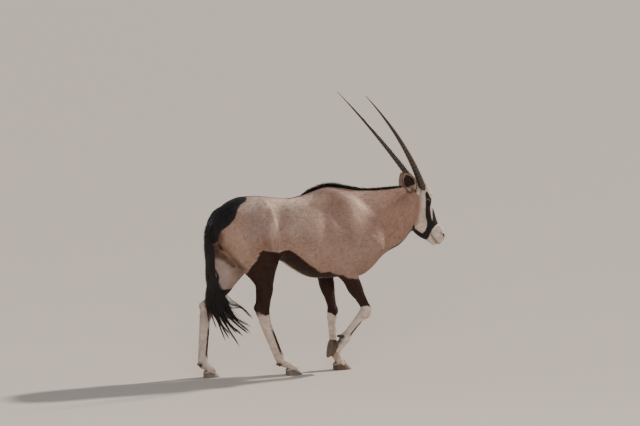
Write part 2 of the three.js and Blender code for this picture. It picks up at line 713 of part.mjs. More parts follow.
function horn(side) {
  const rings = [];
  const radii = [];
  const add = (s, r) => {
    const c = hornPoint(side, s);
    const n = hornPoint(side, s + 5).sub(hornPoint(side, s - 5)).normalize();
    rings.push({ c, n });
    radii.push(r);
  };
  const taper = (s) => HORN.tip + (HORN.root - HORN.tip) * Math.pow(1 - Math.max(s, 0) / HORN.length, 0.95);
  add(-26, HORN.root * 0.98);
  for (let i = 0; i < HORN.rings; i++) {
    const s0 = (HORN.ringed * HORN.length * i) / HORN.rings;
    const pitch = (HORN.ringed * HORN.length) / HORN.rings;
    const height = 2.6 * (1 - (0.75 * i) / HORN.rings);
    add(s0 + pitch * 0.1, taper(s0) - height * 0.5);
    add(s0 + pitch * 0.62, taper(s0 + pitch * 0.6) + height * 0.55);
  }
  const smooth = 8;
  for (let i = 0; i < smooth; i++) {
    const share = (end) => THREE.MathUtils.lerp(HORN.ringed + 0.01, end, i / (smooth - 1));
    add(HORN.length * share(0.995), taper(HORN.length * share(1)));
  }
  return tube(rings, radii, 8, [0.92, 1.04]);
}

// Ears: a leaf curled into a cup. axis runs root to tip and the hollow faces `open`.
const EAR = { length: 166, wide: 43, thick: 3.4 };
const EARS = {
  [RIGHT]: { root: at(601, -68, 1125), axis: at(-0.5, -0.6, 0.62), open: at(0.06, -0.46, -0.39) },
  [LEFT]: { root: at(600, 76, 1120), axis: at(0.33, 0.84, 0.45), open: at(0.7, 0.1, -0.6) },
};
function ear(side) {
  const { root, axis, open } = EARS[side];
  const up = axis.clone().normalize();
  const face = open.clone().addScaledVector(up, -open.dot(up)).normalize();
  const across = up.clone().cross(face);
  const rows = [
    // distance from the root as a share, half width as a share, and how far the edges curl round the hollow
    [-0.08, 0.42, 2.5], [0.06, 0.5, 2.3], [0.2, 0.74, 1.75], [0.36, 0.94, 1.35], [0.52, 1, 1.12], [0.68, 0.9, 1.0],
    [0.82, 0.66, 0.9], [0.92, 0.4, 0.8], [0.985, 0.14, 0.7],
  ];
  const steps = 7;
  const points = [];
  const faces = [];
  rows.forEach(([t, w, curl]) => {
    const radius = (EAR.wide * w) / Math.sin(Math.min(curl, Math.PI / 2));
    const base = root.clone().addScaledVector(up, t * EAR.length).addScaledVector(face, radius * 0.5 - 10 - 16 * t);
    const edge = (r, a) =>
      base.clone().addScaledVector(across, r * Math.sin(a)).addScaledVector(face, -r * Math.cos(a) + radius * 0.35);
    for (let j = 0; j < steps; j++) points.push(edge(radius, curl * ((2 * j) / (steps - 1) - 1)));
    for (let j = steps - 1; j >= 0; j--)
      points.push(edge(Math.max(radius - EAR.thick, radius * 0.6), 0.96 * curl * ((2 * j) / (steps - 1) - 1)));
  });
  const count = 2 * steps;
  for (let i = 0; i + 1 < rows.length; i++)
    for (let j = 0; j < count; j++) {
      const k = (j + 1) % count;
      const [a, b, c, d] = [i * count + j, i * count + k, (i + 1) * count + j, (i + 1) * count + k];
      faces.push([a, b, c], [b, d, c]);
    }
  const over = (rows.length - 1) * count;
  for (let j = 0; j + 1 < steps; j++) {
    const [a, b, c, d] = [j, j + 1, count - 1 - j, count - 2 - j];
    faces.push([b, a, c], [b, c, d]);
    faces.push([over + a, over + b, over + c], [over + b, over + d, over + c]);
  }
  const made = solid(points, faces);
  return made.volume() > 0 ? made : solid(points, faces.map((f) => [f[0], f[2], f[1]]));
}

const eyeBall = (side, radius) => {
  const g = new THREE.IcosahedronGeometry(radius, 2);
  const c = inHead(EYE[0], EYE[1], side * EYE[2]);
  g.translate(c.x, c.y, c.z);
  return solidOf(g);
};

// A flat tapered lock along a curve: `wide` and `thick` are at its broadest place, which is a third of the way along.
function lock(curve, wide, thick, across, sections = 5) {
  const points = [];
  const faces = [];
  for (let i = 0; i < sections; i++) {
    const t = i / sections;
    const c = curve.getPoint(t);
    const n = curve.getTangent(t);
    const side = across.clone().addScaledVector(n, -across.dot(n)).normalize();
    const up = n.clone().cross(side);
    const swell = Math.sqrt(Math.max(1 - t, 0)) * (0.7 + 0.3 * Math.sin(Math.min(t * 3, 1) * Math.PI * 0.5));
    points.push(c.clone().addScaledVector(side, wide * swell));
    points.push(c.clone().addScaledVector(up, thick * swell));
    points.push(c.clone().addScaledVector(side, -wide * swell));
    points.push(c.clone().addScaledVector(up, -thick * swell));
  }
  for (let i = 0; i + 1 < sections; i++)
    for (let j = 0; j < 4; j++) {
      const k = (j + 1) % 4;
      const [a, b, c, d] = [i * 4 + j, i * 4 + k, (i + 1) * 4 + j, (i + 1) * 4 + k];
      faces.push([a, b, c], [b, d, c]);
    }
  const tip = points.push(curve.getPoint(1)) - 1;
  const last = (sections - 1) * 4;
  for (let j = 0; j < 4; j++) faces.push([tip, last + j, last + ((j + 1) % 4)]);
  faces.push([0, 2, 1], [0, 3, 2]);
  return solid(points, faces);
}

// Repeatable variation between 0 and 1
function chance(seed) {
  let s = seed >>> 0;
  return () => {
    s = (s * 1664525 + 1013904223) >>> 0;
    return s / 4294967296;
  };
}

// Tail: a dock in the groove of the rump, and long locks that swing forward as they fall
const DOCK = [
  at(-690, 0, 985), at(-724, 0, 952), at(-736, 0, 900), at(-735, 0, 800), at(-733, 0, 700), at(-724, 0, 620),
  at(-704, 0, 560),
];
const TAIL_TIPS = [
  [0, -776, 468], [0.22, -728, 372], [0.4, -672, 296], [0.6, -618, 238], [0.8, -530, 190], [1, -440, 286],
];
const TAIL_INNER = [[0, -768, 476], [0.3, -738, 452], [0.6, -694, 430], [1, -630, 430]];
const TAIL_LOCKS = 22;

function tail() {
  const dockLine = new THREE.CatmullRomCurve3(DOCK, false, "centripetal");
  const dock = curveTube(DOCK, [[0, 26], [0.2, 23], [0.45, 18], [0.7, 22], [0.9, 26], [1, 10]], 12, 10);
  const random = chance(7);
  const locks = [];
  for (let i = 0; i < TAIL_LOCKS; i++) {
    const high = i < TAIL_LOCKS * 0.4;
    const share = high ? (i + 0.5) / (TAIL_LOCKS * 0.4) : (i - TAIL_LOCKS * 0.4 + 0.5) / (TAIL_LOCKS * 0.6);
    const w = (i * 0.618 + 0.2) % 1;
    const turn = i * 2.4;
    const c = dockLine.getPoint(high ? 0.36 + 0.3 * share : 0.66 + 0.32 * share);
    const outward = at(Math.cos(turn), Math.sin(turn), 0);
    const row = high ? TAIL_INNER : TAIL_TIPS;
    const end = at(along(row.map((r) => [r[0], r[1]]), w), 0, along(row.map((r) => [r[0], r[2]]), w));
    end.lerp(c, 0.1 * random()).setY(outward.y * (12 + 9 * random()));
    const drop = c.z - end.z;
    const first = c.clone().addScaledVector(outward, 15).add(at(0, 0, -drop * 0.3));
    const second = mix(c, end, 0.66).add(at(-24 * w - 4, outward.y * 8, -14 * w));
    const root = c.clone().addScaledVector(outward, 7);
    const line = new THREE.CatmullRomCurve3([root, first, second, end], false, "centripetal");
    const across = at(0.9, 0.5 * outward.y, 0.02);
    locks.push(lock(line, (high ? 24 : 20 - 4 * w) + 4 * random(), 7, across, 5));
  }
  return join([dock, ...locks]);
}

// Mane: short locks in two rows along the crest, leaning back. Those at and behind the withers grow from the torso.
const MANE = { from: -78, to: 566, step: 17, long: 66, wide: 15, thick: 4.5 };
const CREST_DROP = 8;
function maneLocks(from, to, grow = 0) {
  const random = chance(23);
  const locks = [];
  for (let x = MANE.from, i = 0; x < MANE.to; x += MANE.step, i++) {
    const size = Math.min(1, 0.5 + (x - MANE.from) / 160, 0.62 + (MANE.to - x) / 150) * (0.88 + 0.24 * random());
    const lean = 0.34 + 0.2 * random();
    const side = i % 2 ? 1 : -1;
    const splay = side * (0.14 + 0.2 * random());
    if (x < from || x > to) continue;
    const crest = along(BACK, x);
    const root = at(x, side * 4, crest - CREST_DROP);
    const slope = Math.atan2(along(BACK, x + 10) - along(BACK, x - 10), 20);
    const dir = (a, k) => at(-Math.cos(a - slope) * k, Math.sin(splay) * k, Math.sin(a - slope) * k);
    const long = MANE.long * size * (x > 290 ? 0.75 : x > 130 ? 1.12 : 1);
    const points = [
      root, root.clone().add(dir(0.85, long * 0.3)), root.clone().add(dir(lean + 0.22, long * 0.66)),
      root.clone().add(dir(lean, long)),
    ];
    const line = new THREE.CatmullRomCurve3(points, false, "centripetal");
    locks.push(lock(line, MANE.wide + grow, MANE.thick + grow, at(0.9, 0.25 * side, 0.5), 4));
  }
  return locks;
}

// Lids: two tapered rolls that meet at the corners of each eye
function lids(side) {
  const c = inHead(EYE[0], EYE[1], side * EYE[2]);
  const forward = inHead(EYE[0] + 10, EYE[1] - 8, side * (EYE[2] - 2)).sub(c).normalize();
  const outward = at(0.28, side, 0.02).normalize();
  const front = forward.clone().addScaledVector(outward, -forward.dot(outward)).normalize();
  const up = outward.clone().cross(front).multiplyScalar(-side).normalize();
  const spot = (f, u, o) => {
    const v = front.clone().multiplyScalar(f).addScaledVector(up, u).addScaledVector(outward, o);
    return c.clone().addScaledVector(v.normalize(), EYE_RADIUS + 1.2);
  };
  const roll = (u) =>
    curveTube(
      [spot(1, 0, 0.35), spot(0.72, u * 0.55, 0.85), spot(0, u * 0.75, 1), spot(-0.72, u * 0.5, 0.85), spot(-1, 0, 0.35)],
      [[0, 2.6], [0.3, 4.2], [0.7, 4.4], [1, 2.6]],
      9,
      7,
    );
  return [roll(1), roll(-0.85)];
}

// The line of the mouth is a groove round the muzzle, and each nostril is a slanted hollow with its wing outside.
function mouthGroove() {
  const line = [[374, 66], [356, 74], [338, 82], [312, 90], [284, 95], [262, 94]];
  const shape = new THREE.Shape();
  const upper = line.map(([u, v]) => inHead(u, v - 1.6, 0));
  const lower = line.map(([u, v]) => inHead(u, v + 1.6, 0)).reverse();
  shape.setFromPoints([...upper, ...lower].map((p) => new THREE.Vector2(p.x, p.z)));
  const g = new THREE.ExtrudeGeometry(shape, { depth: 160, bevelEnabled: false });
  g.rotateX(Math.PI / 2);
  g.translate(0, 80, 0);
  return solidOf(g).subtract(head(-5));
}

function nostril(side) {
  const a = inHead(342, 20, side * 19);
  const b = inHead(318, 24, side * 33);
  const form = muscle(a, b, 8, 6);
  const outer = bone(a, b, 6.5, 4);
  const rings = legRings([a.clone().lerp(b, -0.1), mix(a, b, 0.5), b.clone().lerp(a, -0.1)], 5, false);
  return skin(rings, 8, blend(4, [form, outer]), { reach: 30, caps: [3, 3] });
}

const group = new THREE.Group();
const COLOURS = {
  fawn: [0xa88370, 0.85, 0], dark: [0x241713, 0.85, 0], black: [0x121012, 0.75, 0], white: [0xd9cfc4, 0.85, 0],
  horn: [0x4a3a2c, 0.5, 0], hoof: [0x3b342c, 0.55, 0], eye: [0x120b08, 0.1, 0],
};

function place(name, made, look) {
  const m = largest(made).getMesh();
  const g = new THREE.BufferGeometry();
  const xyz = new Float32Array(m.numVert * 3);
  for (let i = 0; i < m.numVert; i++) xyz.set(m.vertProperties.subarray(i * m.numProp, i * m.numProp + 3), i * 3);
  g.setAttribute("position", new THREE.BufferAttribute(xyz, 3));
  g.setIndex(new THREE.BufferAttribute(new Uint32Array(m.triVerts), 1));
  g.computeVertexNormals();
  const [color, roughness, metalness] = COLOURS[look];
  const mesh = new THREE.Mesh(g, new THREE.MeshStandardMaterial({ color, roughness, metalness }));
  mesh.name = name;
  group.add(mesh);
}

const NECK_LIMIT = NECK_ROOT[0] - 105; // where the plane of the neck's root reaches the crest
const torsoWhole = torso();
const neckWhole = neck();
const torsoMane = join(maneLocks(-FAR, NECK_LIMIT)).subtract(neck(2 * GAP));
place("torso", torsoWhole.add(torsoMane), "fawn");
place("tail", tail().subtract(torso(GAP)), "black");

const cutter = head(GAP).add(neck(GAP));
const horns = { right: horn(RIGHT), left: horn(LEFT) };
const ears = { right: ear(RIGHT), left: ear(LEFT) };
const sockets = [eyeBall(RIGHT, EYE_RADIUS + GAP), eyeBall(LEFT, EYE_RADIUS + GAP)];
const hollows = [...sockets, mouthGroove(), nostril(RIGHT), nostril(LEFT)];
place("head", join([head(), ...lids(RIGHT), ...lids(LEFT)]).subtract(join(hollows)), "white");
const clear = join([head(2 * GAP), torso(2 * GAP), ...maneLocks(-FAR, NECK_LIMIT, 3 * GAP)]);
place("neck", neckWhole.add(join(maneLocks(NECK_LIMIT, FAR)).subtract(clear)), "fawn");
for (const [word, side] of [["right", RIGHT], ["left", LEFT]]) {
  place("horn_" + word, horns[word].subtract(cutter), "horn");
  place("ear_" + word, ears[word].subtract(cutter), "fawn");
  place("eye_" + word, eyeBall(side, EYE_RADIUS), "eye");
}

for (const name of Object.keys(LIMBS)) {
  const j = JOINTS[name];
  const { upper, lower } = limbNodes(name);
  const scale = name.startsWith("fore") ? 1.12 : 1;
  const onSole = (t, grow) => placed(claw(t, scale, grow), j.sole, j.pitch);
  const claws = [-1, 1].map((t) => [t, onSole(t, 0), onSole(t, 3 * GAP)]);
  const dews = [-1, 1].map((t) => [t, dewClaw(name, t), dewClaw(name, t, 2 * GAP)]);
  place(name + "_upper", upper, "dark");
  place(name + "_lower", lower.subtract(join([...claws, ...dews].map((c) => c[2]))), "white");
  for (const [t, c] of claws) place(name + (t < 0 ? "_claw_r" : "_claw_l"), c, "hoof");
  for (const [t, c] of dews) place(name + (t < 0 ? "_dewclaw_r" : "_dewclaw_l"), c, "hoof");
}

group.position.copy(FLOOR_CENTRE);
export default group;
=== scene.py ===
# The looks of a life-size walking gemsbok: one skin over the flesh, short coat, mane, tail, horns and hooves.
import math
import bpy
import bmesh
import numpy as np
from mathutils import Matrix, Vector


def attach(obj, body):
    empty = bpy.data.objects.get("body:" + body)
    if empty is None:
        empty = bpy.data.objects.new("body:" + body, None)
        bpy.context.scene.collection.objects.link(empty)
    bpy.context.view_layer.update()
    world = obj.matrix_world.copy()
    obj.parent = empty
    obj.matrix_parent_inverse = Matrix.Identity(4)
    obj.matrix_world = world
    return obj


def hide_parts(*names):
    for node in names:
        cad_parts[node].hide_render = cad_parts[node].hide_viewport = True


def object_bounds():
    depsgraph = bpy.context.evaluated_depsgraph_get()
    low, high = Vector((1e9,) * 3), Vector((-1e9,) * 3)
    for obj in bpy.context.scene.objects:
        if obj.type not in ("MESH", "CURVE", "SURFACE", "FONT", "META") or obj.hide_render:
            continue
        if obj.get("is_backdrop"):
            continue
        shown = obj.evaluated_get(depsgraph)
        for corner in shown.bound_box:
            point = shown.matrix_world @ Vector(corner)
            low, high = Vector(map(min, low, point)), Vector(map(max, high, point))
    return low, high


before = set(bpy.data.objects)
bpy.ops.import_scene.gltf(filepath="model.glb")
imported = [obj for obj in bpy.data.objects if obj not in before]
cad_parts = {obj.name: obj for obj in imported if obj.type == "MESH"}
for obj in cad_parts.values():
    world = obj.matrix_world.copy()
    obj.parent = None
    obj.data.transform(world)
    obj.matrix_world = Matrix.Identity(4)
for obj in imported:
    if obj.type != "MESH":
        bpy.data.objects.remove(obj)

CAD_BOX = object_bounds()
RIGHT, LEFT = -1, 1
FLOOR_CENTRE = np.array([-18.1, 0.0, 0.0])  # mm, from the pose's origin to the middle of the floor plan
COAT = 2.0  # depth of the short coat, in mm
# Fillets where forms meet, in mm
FILLET = dict(
    toes=9, leg=22, trunk=42, skull=16, leg_to_trunk=30, head_to_neck=34, fold=26, eyelid=9, nostril=4)
rng = np.random.default_rng(11)


def at(x, y, z):
    return np.array([x, y, z], float)


def unit(v):
    return v / (np.linalg.norm(v, axis=-1, keepdims=True) + 1e-12)


def metres(p):
    return (np.asarray(p, float) + FLOOR_CENTRE) / 1000


def curve(rows):
    r = np.array(rows, float)
    X, V = r[:, 0], r[:, 1]
    n = len(X)
    a, b = np.maximum(np.arange(n) - 1, 0), np.minimum(np.arange(n) + 1, n - 1)
    S = (V[b] - V[a]) / (X[b] - X[a])

    def f(x):
        x = np.clip(x, X[0], X[-1])
        i = np.clip(np.searchsorted(X, x, side="right") - 1, 0, n - 2)
        w = X[i + 1] - X[i]
        t = (x - X[i]) / w
        t2, t3 = t * t, t * t * t
        return (V[i] * (2 * t3 - 3 * t2 + 1) + S[i] * w * (t3 - 2 * t2 + t)
                + V[i + 1] * (3 * t2 - 2 * t3) + S[i + 1] * w * (t3 - t2))

    return f


def smooth(lo, hi, x):
    t = np.clip((x - lo) / (hi - lo), 0, 1)
    return t * t * (3 - 2 * t)


# Distance fields in millimetres: each takes points (N, 3) and gives about how far outside the form they are.
def bone(a, b, ra, rb):
    ba = b - a
    l2 = ba @ ba
    rr = ra - rb
    a2 = l2 - rr * rr

    def f(p):
        pa = p - a
        h = pa @ ba
        g = h - l2
        x2 = ((pa * l2 - np.outer(h, ba)) ** 2).sum(1)
        y2, z2 = h * h * l2, g * g * l2
        k = np.sign(rr) * rr * rr * x2
        d = (np.sqrt(x2 * a2 / l2) + h * rr) / l2 - ra
        d = np.where(np.sign(h) * a2 * y2 < k, np.sqrt(x2 + y2) / l2 - ra, d)
        return np.where(np.sign(g) * a2 * z2 > k, np.sqrt(x2 + z2) / l2 - rb, d)

    return f


def muscle(a, b, wide, deep):
    c = (a + b) / 2
    axis = b - a
    length = np.linalg.norm(axis) / 2
    axis = unit(axis)
    side = unit(at(0, 1, 0) - axis * axis[1])
    m = np.array([axis, side, np.cross(axis, side)]).T
    size = np.array([length, wide, deep])

    def f(p):
        q = (p - c) @ m
        k0 = np.linalg.norm(q / size, axis=1)
        k1 = np.linalg.norm(q / size**2, axis=1) + 1e-9
        return k0 * (k0 - 1) / k1

    return f


def join(d, e, k):
    """Two forms as one, with a fillet where they are less than k apart."""
    h = np.maximum(k - np.abs(d - e), 0) / k
    return np.minimum(d, e) - h * h * k / 4


def blend(k, forms):
    def f(p):
        d = forms[0](p)
        for g in forms[1:]:
            d = join(d, g(p), k)
        return d

    return f


# Trunk and neck: back line, belly line and half width at each X
BACK = curve([
    [-728, 905], [-722, 955], [-708, 1000], [-684, 1036], [-645, 1072], [-592, 1106], [-527, 1127],
    [-428, 1129], [-330, 1119], [-264, 1109], [-198, 1107], [-131, 1121], [-64, 1148], [0, 1170], [56, 1178],
    [136, 1166], [203, 1151], [338, 1137], [473, 1140], [560, 1144], [620, 1120]])
BELLY = curve([
    [-728, 880], [-716, 830], [-670, 800], [-600, 780], [-500, 760], [-400, 745], [-330, 728], [-270, 712],
    [-205, 668], [-139, 625], [-86, 602], [-19, 592], [100, 592], [200, 596], [262, 606], [311, 633],
    [352, 662], [400, 703], [441, 731], [482, 750], [523, 770], [565, 806], [592, 842], [620, 880]])
HALF_WIDTH = curve([
    [-728, 22], [-716, 62], [-690, 92], [-640, 122], [-560, 146], [-480, 160], [-400, 170], [-330, 180],
    [-250, 195], [-150, 206], [-50, 203], [50, 186], [130, 170], [200, 158], [280, 146], [340, 134],
    [400, 122], [460, 111], [520, 102], [580, 94], [620, 86]])
WIDEST = curve([[-728, 0.55], [-500, 0.62], [-300, 0.5], [-100, 0.42], [100, 0.42], [300, 0.45], [620, 0.55]])
ROUND = curve([[-728, 2.2], [-450, 2.3], [-250, 2.0], [-60, 1.55], [120, 1.5], [300, 1.7], [620, 2]])


def tube_form(x, y, z, lo, hi, top, base, half, widest, nt, nb, end):
    near = np.clip(x, lo, hi)
    t, b, w = top(near), base(near), half(near)
    mid = b + (t - b) * widest(near)
    over = (z > mid) if end > 0 else (z < mid)
    high = np.where(over, np.abs(t - mid), np.abs(mid - b))
    n = np.where(over, nt(near) if callable(nt) else nt, nb)
    out = (np.abs(y) / w) ** n + (np.abs(z - mid) / high) ** n
    return (out ** (1 / n) - 1) * np.minimum(w, high) * 0.9 + np.abs(x - near) * (1.2 if end > 0 else 1)


def trunk_form(p):
    return tube_form(p[:, 0], p[:, 1], p[:, 2], -722, 615, BACK, BELLY, HALF_WIDTH, WIDEST, ROUND, 2.1, 1)


FACE_TOP, FACE_LIP = at(712, 0, 1130), at(842, 0, 822)
DOWN = unit(FACE_LIP - FACE_TOP)
IN = at(DOWN[2], 0, -DOWN[0])
FACE = curve([
    [-62, 78], [-45, 36], [-20, 12], [5, -5], [32, -16], [66, -14], [108, -1], [156, 4], [190, 7], [218, 9],
    [245, 9], [265, 5], [285, 0], [305, 0], [322, 1], [338, 5], [352, 14], [364, 28], [372, 46]])
JAW = curve([
    [-62, 92], [-45, 130], [-20, 150], [30, 165], [90, 178], [150, 188], [200, 190], [235, 183], [265, 168],
    [290, 150], [311, 130], [330, 114], [345, 102], [358, 88], [366, 74], [372, 60]])
HEAD_HALF = curve([
    [-62, 22], [-45, 52], [-20, 66], [20, 74], [60, 78], [95, 76], [130, 68], [170, 58], [215, 48], [250, 43],
    [280, 42], [310, 43], [335, 40], [355, 32], [368, 20], [372, 10]])
HEAD_WIDEST = curve([[-62, 0.5], [0, 0.42], [60, 0.36], [130, 0.45], [200, 0.5], [280, 0.5], [372, 0.5]])


def head_uv(p):
    q = p - FACE_TOP
    return q @ DOWN, q @ IN


def head_form(p):
    u, v = head_uv(p)
    return tube_form(u, p[:, 1], v, -60, 370, FACE, JAW, HEAD_HALF, HEAD_WIDEST, 2.5, 2.0, -1)


def in_head(u, v, y):
    q = FACE_TOP + DOWN * u + IN * v
    return at(q[0], y, q[2])


def mirrored(p):
    """The points with the right side laid over the left."""
    return np.column_stack([p[:, 0], np.abs(p[:, 1]), p[:, 2]])


EYE, EYE_R = (62, 32, 62), 18.0


def from_eye(p):
    return np.linalg.norm(mirrored(p) - in_head(*EYE), axis=1)


def head_details(s):
    def p(u, v, y):
        return in_head(u, v, s * y)

    return [
        bone(p(34, 24, 56), p(92, 34, 58), 20, 13), bone(p(4, 14, 42), p(44, 6, 50), 27, 21),
        bone(p(96, 62, 55), p(180, 62, 42), 20, 12),
        muscle(p(80, 120, 48), p(215, 150, 40), 30, 48),
        bone(p(-4, 28, 34), p(-26, 26, 37), 30, 28),
        muscle(p(262, 18, 26), p(338, 34, 26), 18, 24),
        muscle(p(250, 66, 22), p(352, 72, 18), 22, 22),
        bone(p(300, 104, 14), p(350, 92, 10), 17, 12),
        bone(p(10, 118, 58), p(-14, 112, 76), 26, 20)]


def off(p, x, y, z):
    return p + at(x, y, z)


def mix(a, b, t):
    return a + (b - a) * t


def limb_at(side, pitch=0, point=0, **places):
    """A limb's side, the pitch of its hooves in degrees, how far the hock's point stands out, its joints."""
    return {k: at(*v) for k, v in places.items()} | {"side": side, "pitch": pitch, "point": point}


J = {
    "hind_right": limb_at(
        RIGHT, point=44, hip=(-560, -112, 965), stifle=(-398, -128, 716), hock=(-414, -84, 394),
        fetlock=(-288, -62, 92), coronet=(-226, -60, 54), heelward=(-1, 0, 0.35), sole=(-219, -60, 0)),
    "hind_left": limb_at(
        LEFT, point=30, hip=(-575, 112, 965), stifle=(-470, 132, 708), hock=(-728, 84, 424),
        fetlock=(-761, 70, 88), coronet=(-722, 66, 54), heelward=(-1, 0, -0.1), sole=(-720, 66, 0)),
    "fore_right": limb_at(
        RIGHT, pitch=103, blade=(40, -70, 1120), shoulder=(345, -118, 800), elbow=(125, -124, 655),
        knee=(268, -86, 372), fetlock=(128, -84, 212), coronet=(83, -84, 160), heelward=(-0.6, 0, 1),
        sole=(21, -84, 166)),
    "fore_left": limb_at(
        LEFT, blade=(20, 70, 1120), shoulder=(335, 118, 800), elbow=(60, 122, 650), knee=(92, 44, 362),
        fetlock=(96, 20, 112), coronet=(122, 14, 58), heelward=(-1, 0, 0), sole=(128, 12, 0))}


def cannon_forms(j, ra, rb):
    top = j["hock"] if "hock" in j else j["knee"]
    fet, cor = j["fetlock"], j["coronet"]
    line = unit(fet - top)
    back = unit(j["heelward"] - line * (j["heelward"] @ line))
    j["back"], j["bend"] = back, top
    upper, lower = mix(top, fet, 0.12), mix(top, fet, 0.9)
    drop = unit(cor - fet)
    forms = [
        bone(top, upper, ra + 8, ra + 1), bone(upper, lower, ra, rb),
        bone(upper + back * ra * 1.05, lower + back * rb, ra * 0.66, rb * 0.76),
        bone(lower, fet, rb + 1, 26), bone(fet + back * 10, mix(fet, cor, 0.4) + back * 8, 22, 16)]
    toes = []
    for t in (-1, 1):
        y = at(0, t, 0)
        forms.append(bone(fet + y * 10, cor + y * 18 + drop * 14, 23, 20))
        a, end = mix(fet, cor, 0.3) + y * 10, cor + y * 18
        tip = end + unit(end - a) * 26
        bulb = end + back * 26
        toes += [bone(a, tip, 20.5, 16), bone(mix(a, end, 0.4), mix(bulb, tip, 0.45), 19.5, 17)]
    return forms, blend(FILLET["toes"], toes)


def limb_forms(name):
    """The muscles that blend into the trunk, the leg below them, and the toes."""
    j, s = J[name], J[name]["side"]
    if "hock" in j:
        hip, stifle, hock = j["hip"], j["stifle"], j["hock"]
        calf = mix(stifle, hock, 0.3)
        back = unit(j["heelward"])
        heel = hock + back * j["point"] + at(0, 0, 30)
        top = [
            muscle(at(-395, s * 108, 1085), mix(hip, stifle, 0.75), 62, 92),
            muscle(off(hip, -50, 0, 90), calf + back * 20, 74, 118),
            bone(at(-676, s * 62, 955), calf + back * 58, 44, 38),
            bone(off(hip, 90, 0, 10), off(stifle, -4, 0, 14), 76, 54),
            muscle(at(-340, s * 118, 860), off(stifle, 40, 2, 0), 26, 42)]
        mid = [
            bone(stifle, mix(stifle, hock, 0.55), 60, 42),
            bone(calf + back * 28, mix(stifle, hock, 0.6) + back * 16, 54, 34),
            bone(mix(stifle, hock, 0.5), off(hock, 4, 0, 12), 44, 33),
            bone(mix(stifle, hock, 0.55) + back * 34, heel, 20, 15),
            bone(heel, hock + back * 14, 19, 30)]
        low, toes = cannon_forms(j, 26, 22)
    else:
        blade, shoulder, elbow, knee = j["blade"], j["shoulder"], j["elbow"], j["knee"]
        top = [
            muscle(off(blade, -50, 0, 20), off(shoulder, 10, 0, -20), 46, 105),
            bone(off(shoulder, -30, -8 * s, 0), elbow, 62, 54),
            muscle(off(blade, -30, 30 * s, -120), off(elbow, 10, 0, -30), 52, 92),
            muscle(at(380, s * 56, 880), off(elbow, 70, -50 * s, -40), 62, 75)]
        mid = [
            bone(off(elbow, 8, -4 * s, 0), mix(elbow, knee, 0.45), 56, 41),
            bone(mix(elbow, knee, 0.4), off(knee, 0, 0, 26), 42, 28),
            bone(off(elbow, -28, -4 * s, 4), mix(elbow, knee, 0.55), 37, 31),
            bone(off(knee, 1, 0, 14), off(knee, 0, 0, -12), 30, 29)]
        low, toes = cannon_forms(j, 21, 18)
    return top, blend(FILLET["leg"], mid + low), toes


LIMBS = {n: limb_forms(n) for n in J}
BODY = blend(FILLET["trunk"], [trunk_form] + [f for top, _, _ in LIMBS.values() for f in top])
HEAD = blend(FILLET["skull"], [head_form] + head_details(RIGHT) + head_details(LEFT))

# Hollows and swells on each flank: x, z, reach along and across, lean in degrees, height
RELIEF = [
    (-318, 1018, 60, 66, 20, -12), (-422, 1072, 34, 26, 0, 7), (-40, 850, 34, 170, -8, -8),
    (150, 1040, 105, 24, -62, 3), (338, 800, 70, 70, 0, 3), (215, 1010, 40, 110, 28, 4),
    (60, 1000, 30, 120, 12, -6), (-470, 940, 60, 70, 0, -5), (120, 760, 70, 70, 0, 5),
    (225, 700, 16, 80, -35, -6), (-565, 880, 16, 130, 25, -5), (-400, 728, 45, 50, 0, 5),
    (-470, 800, 60, 90, 0, 4), (110, 640, 26, 26, 0, 6), (255, 935, 22, 130, 38, -5),
    (-640, 900, 40, 80, 10, 4), (-220, 760, 110, 22, 30, -4)]
FOLD = np.array([
    (-402, 118, 1086), (-388, 146, 1058), (-373, 165, 1012), (-364, 178, 950), (-358, 174, 880),
    (-352, 164, 815)], float)
EYE_AXIS = unit(DOWN * 0.77 - IN * 0.64)


def skin_form(p, fine=True):
    d = BODY(p)
    for _, leg, toes in LIMBS.values():
        d = join(join(d, leg(p), FILLET["leg_to_trunk"]), toes(p), FILLET["toes"])
    near = p[:, 0] > 480
    if near.any():
        d[near] = join(d[near], HEAD(p[near]), FILLET["head_to_neck"])
    if not fine:
        return d
    wide = smooth(50, 110, np.abs(p[:, 1]))
    for x, z, rx, rz, lean, high in RELIEF:
        c, s = math.cos(math.radians(lean)), math.sin(math.radians(lean))
        dx, dz = p[:, 0] - x, p[:, 2] - z
        d = d - high * np.exp(-(((dx * c + dz * s) / rx) ** 2) - ((dz * c - dx * s) / rz) ** 2) * wide
    near = (p[:, 0] > -450) & (p[:, 0] < -300) & (p[:, 2] > 780)
    if near.any():
        q = mirrored(p[near])
        fold = np.min([bone(a, b, 10, 10)(q) for a, b in zip(FOLD, FOLD[1:])], axis=0)
        d[near] = join(d[near], fold, FILLET["fold"])
    near = (p[:, 0] > 640) & (p[:, 2] < 1150)
    if near.any():
        d[near] = face_details(p[near], d[near])
    return d


NOSTRIL = [
    bone(in_head(346, 20, 18), in_head(318, 22, 35), 8.5, 5.5),
    bone(in_head(318, 22, 35), in_head(304, 32, 38), 5, 2.5)]
MOUTH = [(374, 66), (356, 74), (338, 82), (312, 90), (284, 95), (262, 94)]


def line_distance(pts, x, y, closed=False):
    """Distance to a line through points. For a closed line it is below zero inside."""
    pts = np.array(pts, float)
    best = np.full(x.shape, 1e18)
    odd = np.zeros(x.shape, bool)
    for a, b in zip(pts if closed else pts[:-1], np.roll(pts, -1, 0)):
        ab = b - a
        t = np.clip(((x - a[0]) * ab[0] + (y - a[1]) * ab[1]) / (ab @ ab + 1e-12), 0, 1)
        best = np.minimum(best, (x - a[0] - t * ab[0]) ** 2 + (y - a[1] - t * ab[1]) ** 2)
        if closed and a[1] != b[1]:
            odd ^= ((a[1] > y) != (b[1] > y)) & (x < (b[0] - a[0]) * (y - a[1]) / (b[1] - a[1]) + a[0])
    best = np.sqrt(best)
    return np.where(odd, -best, best)


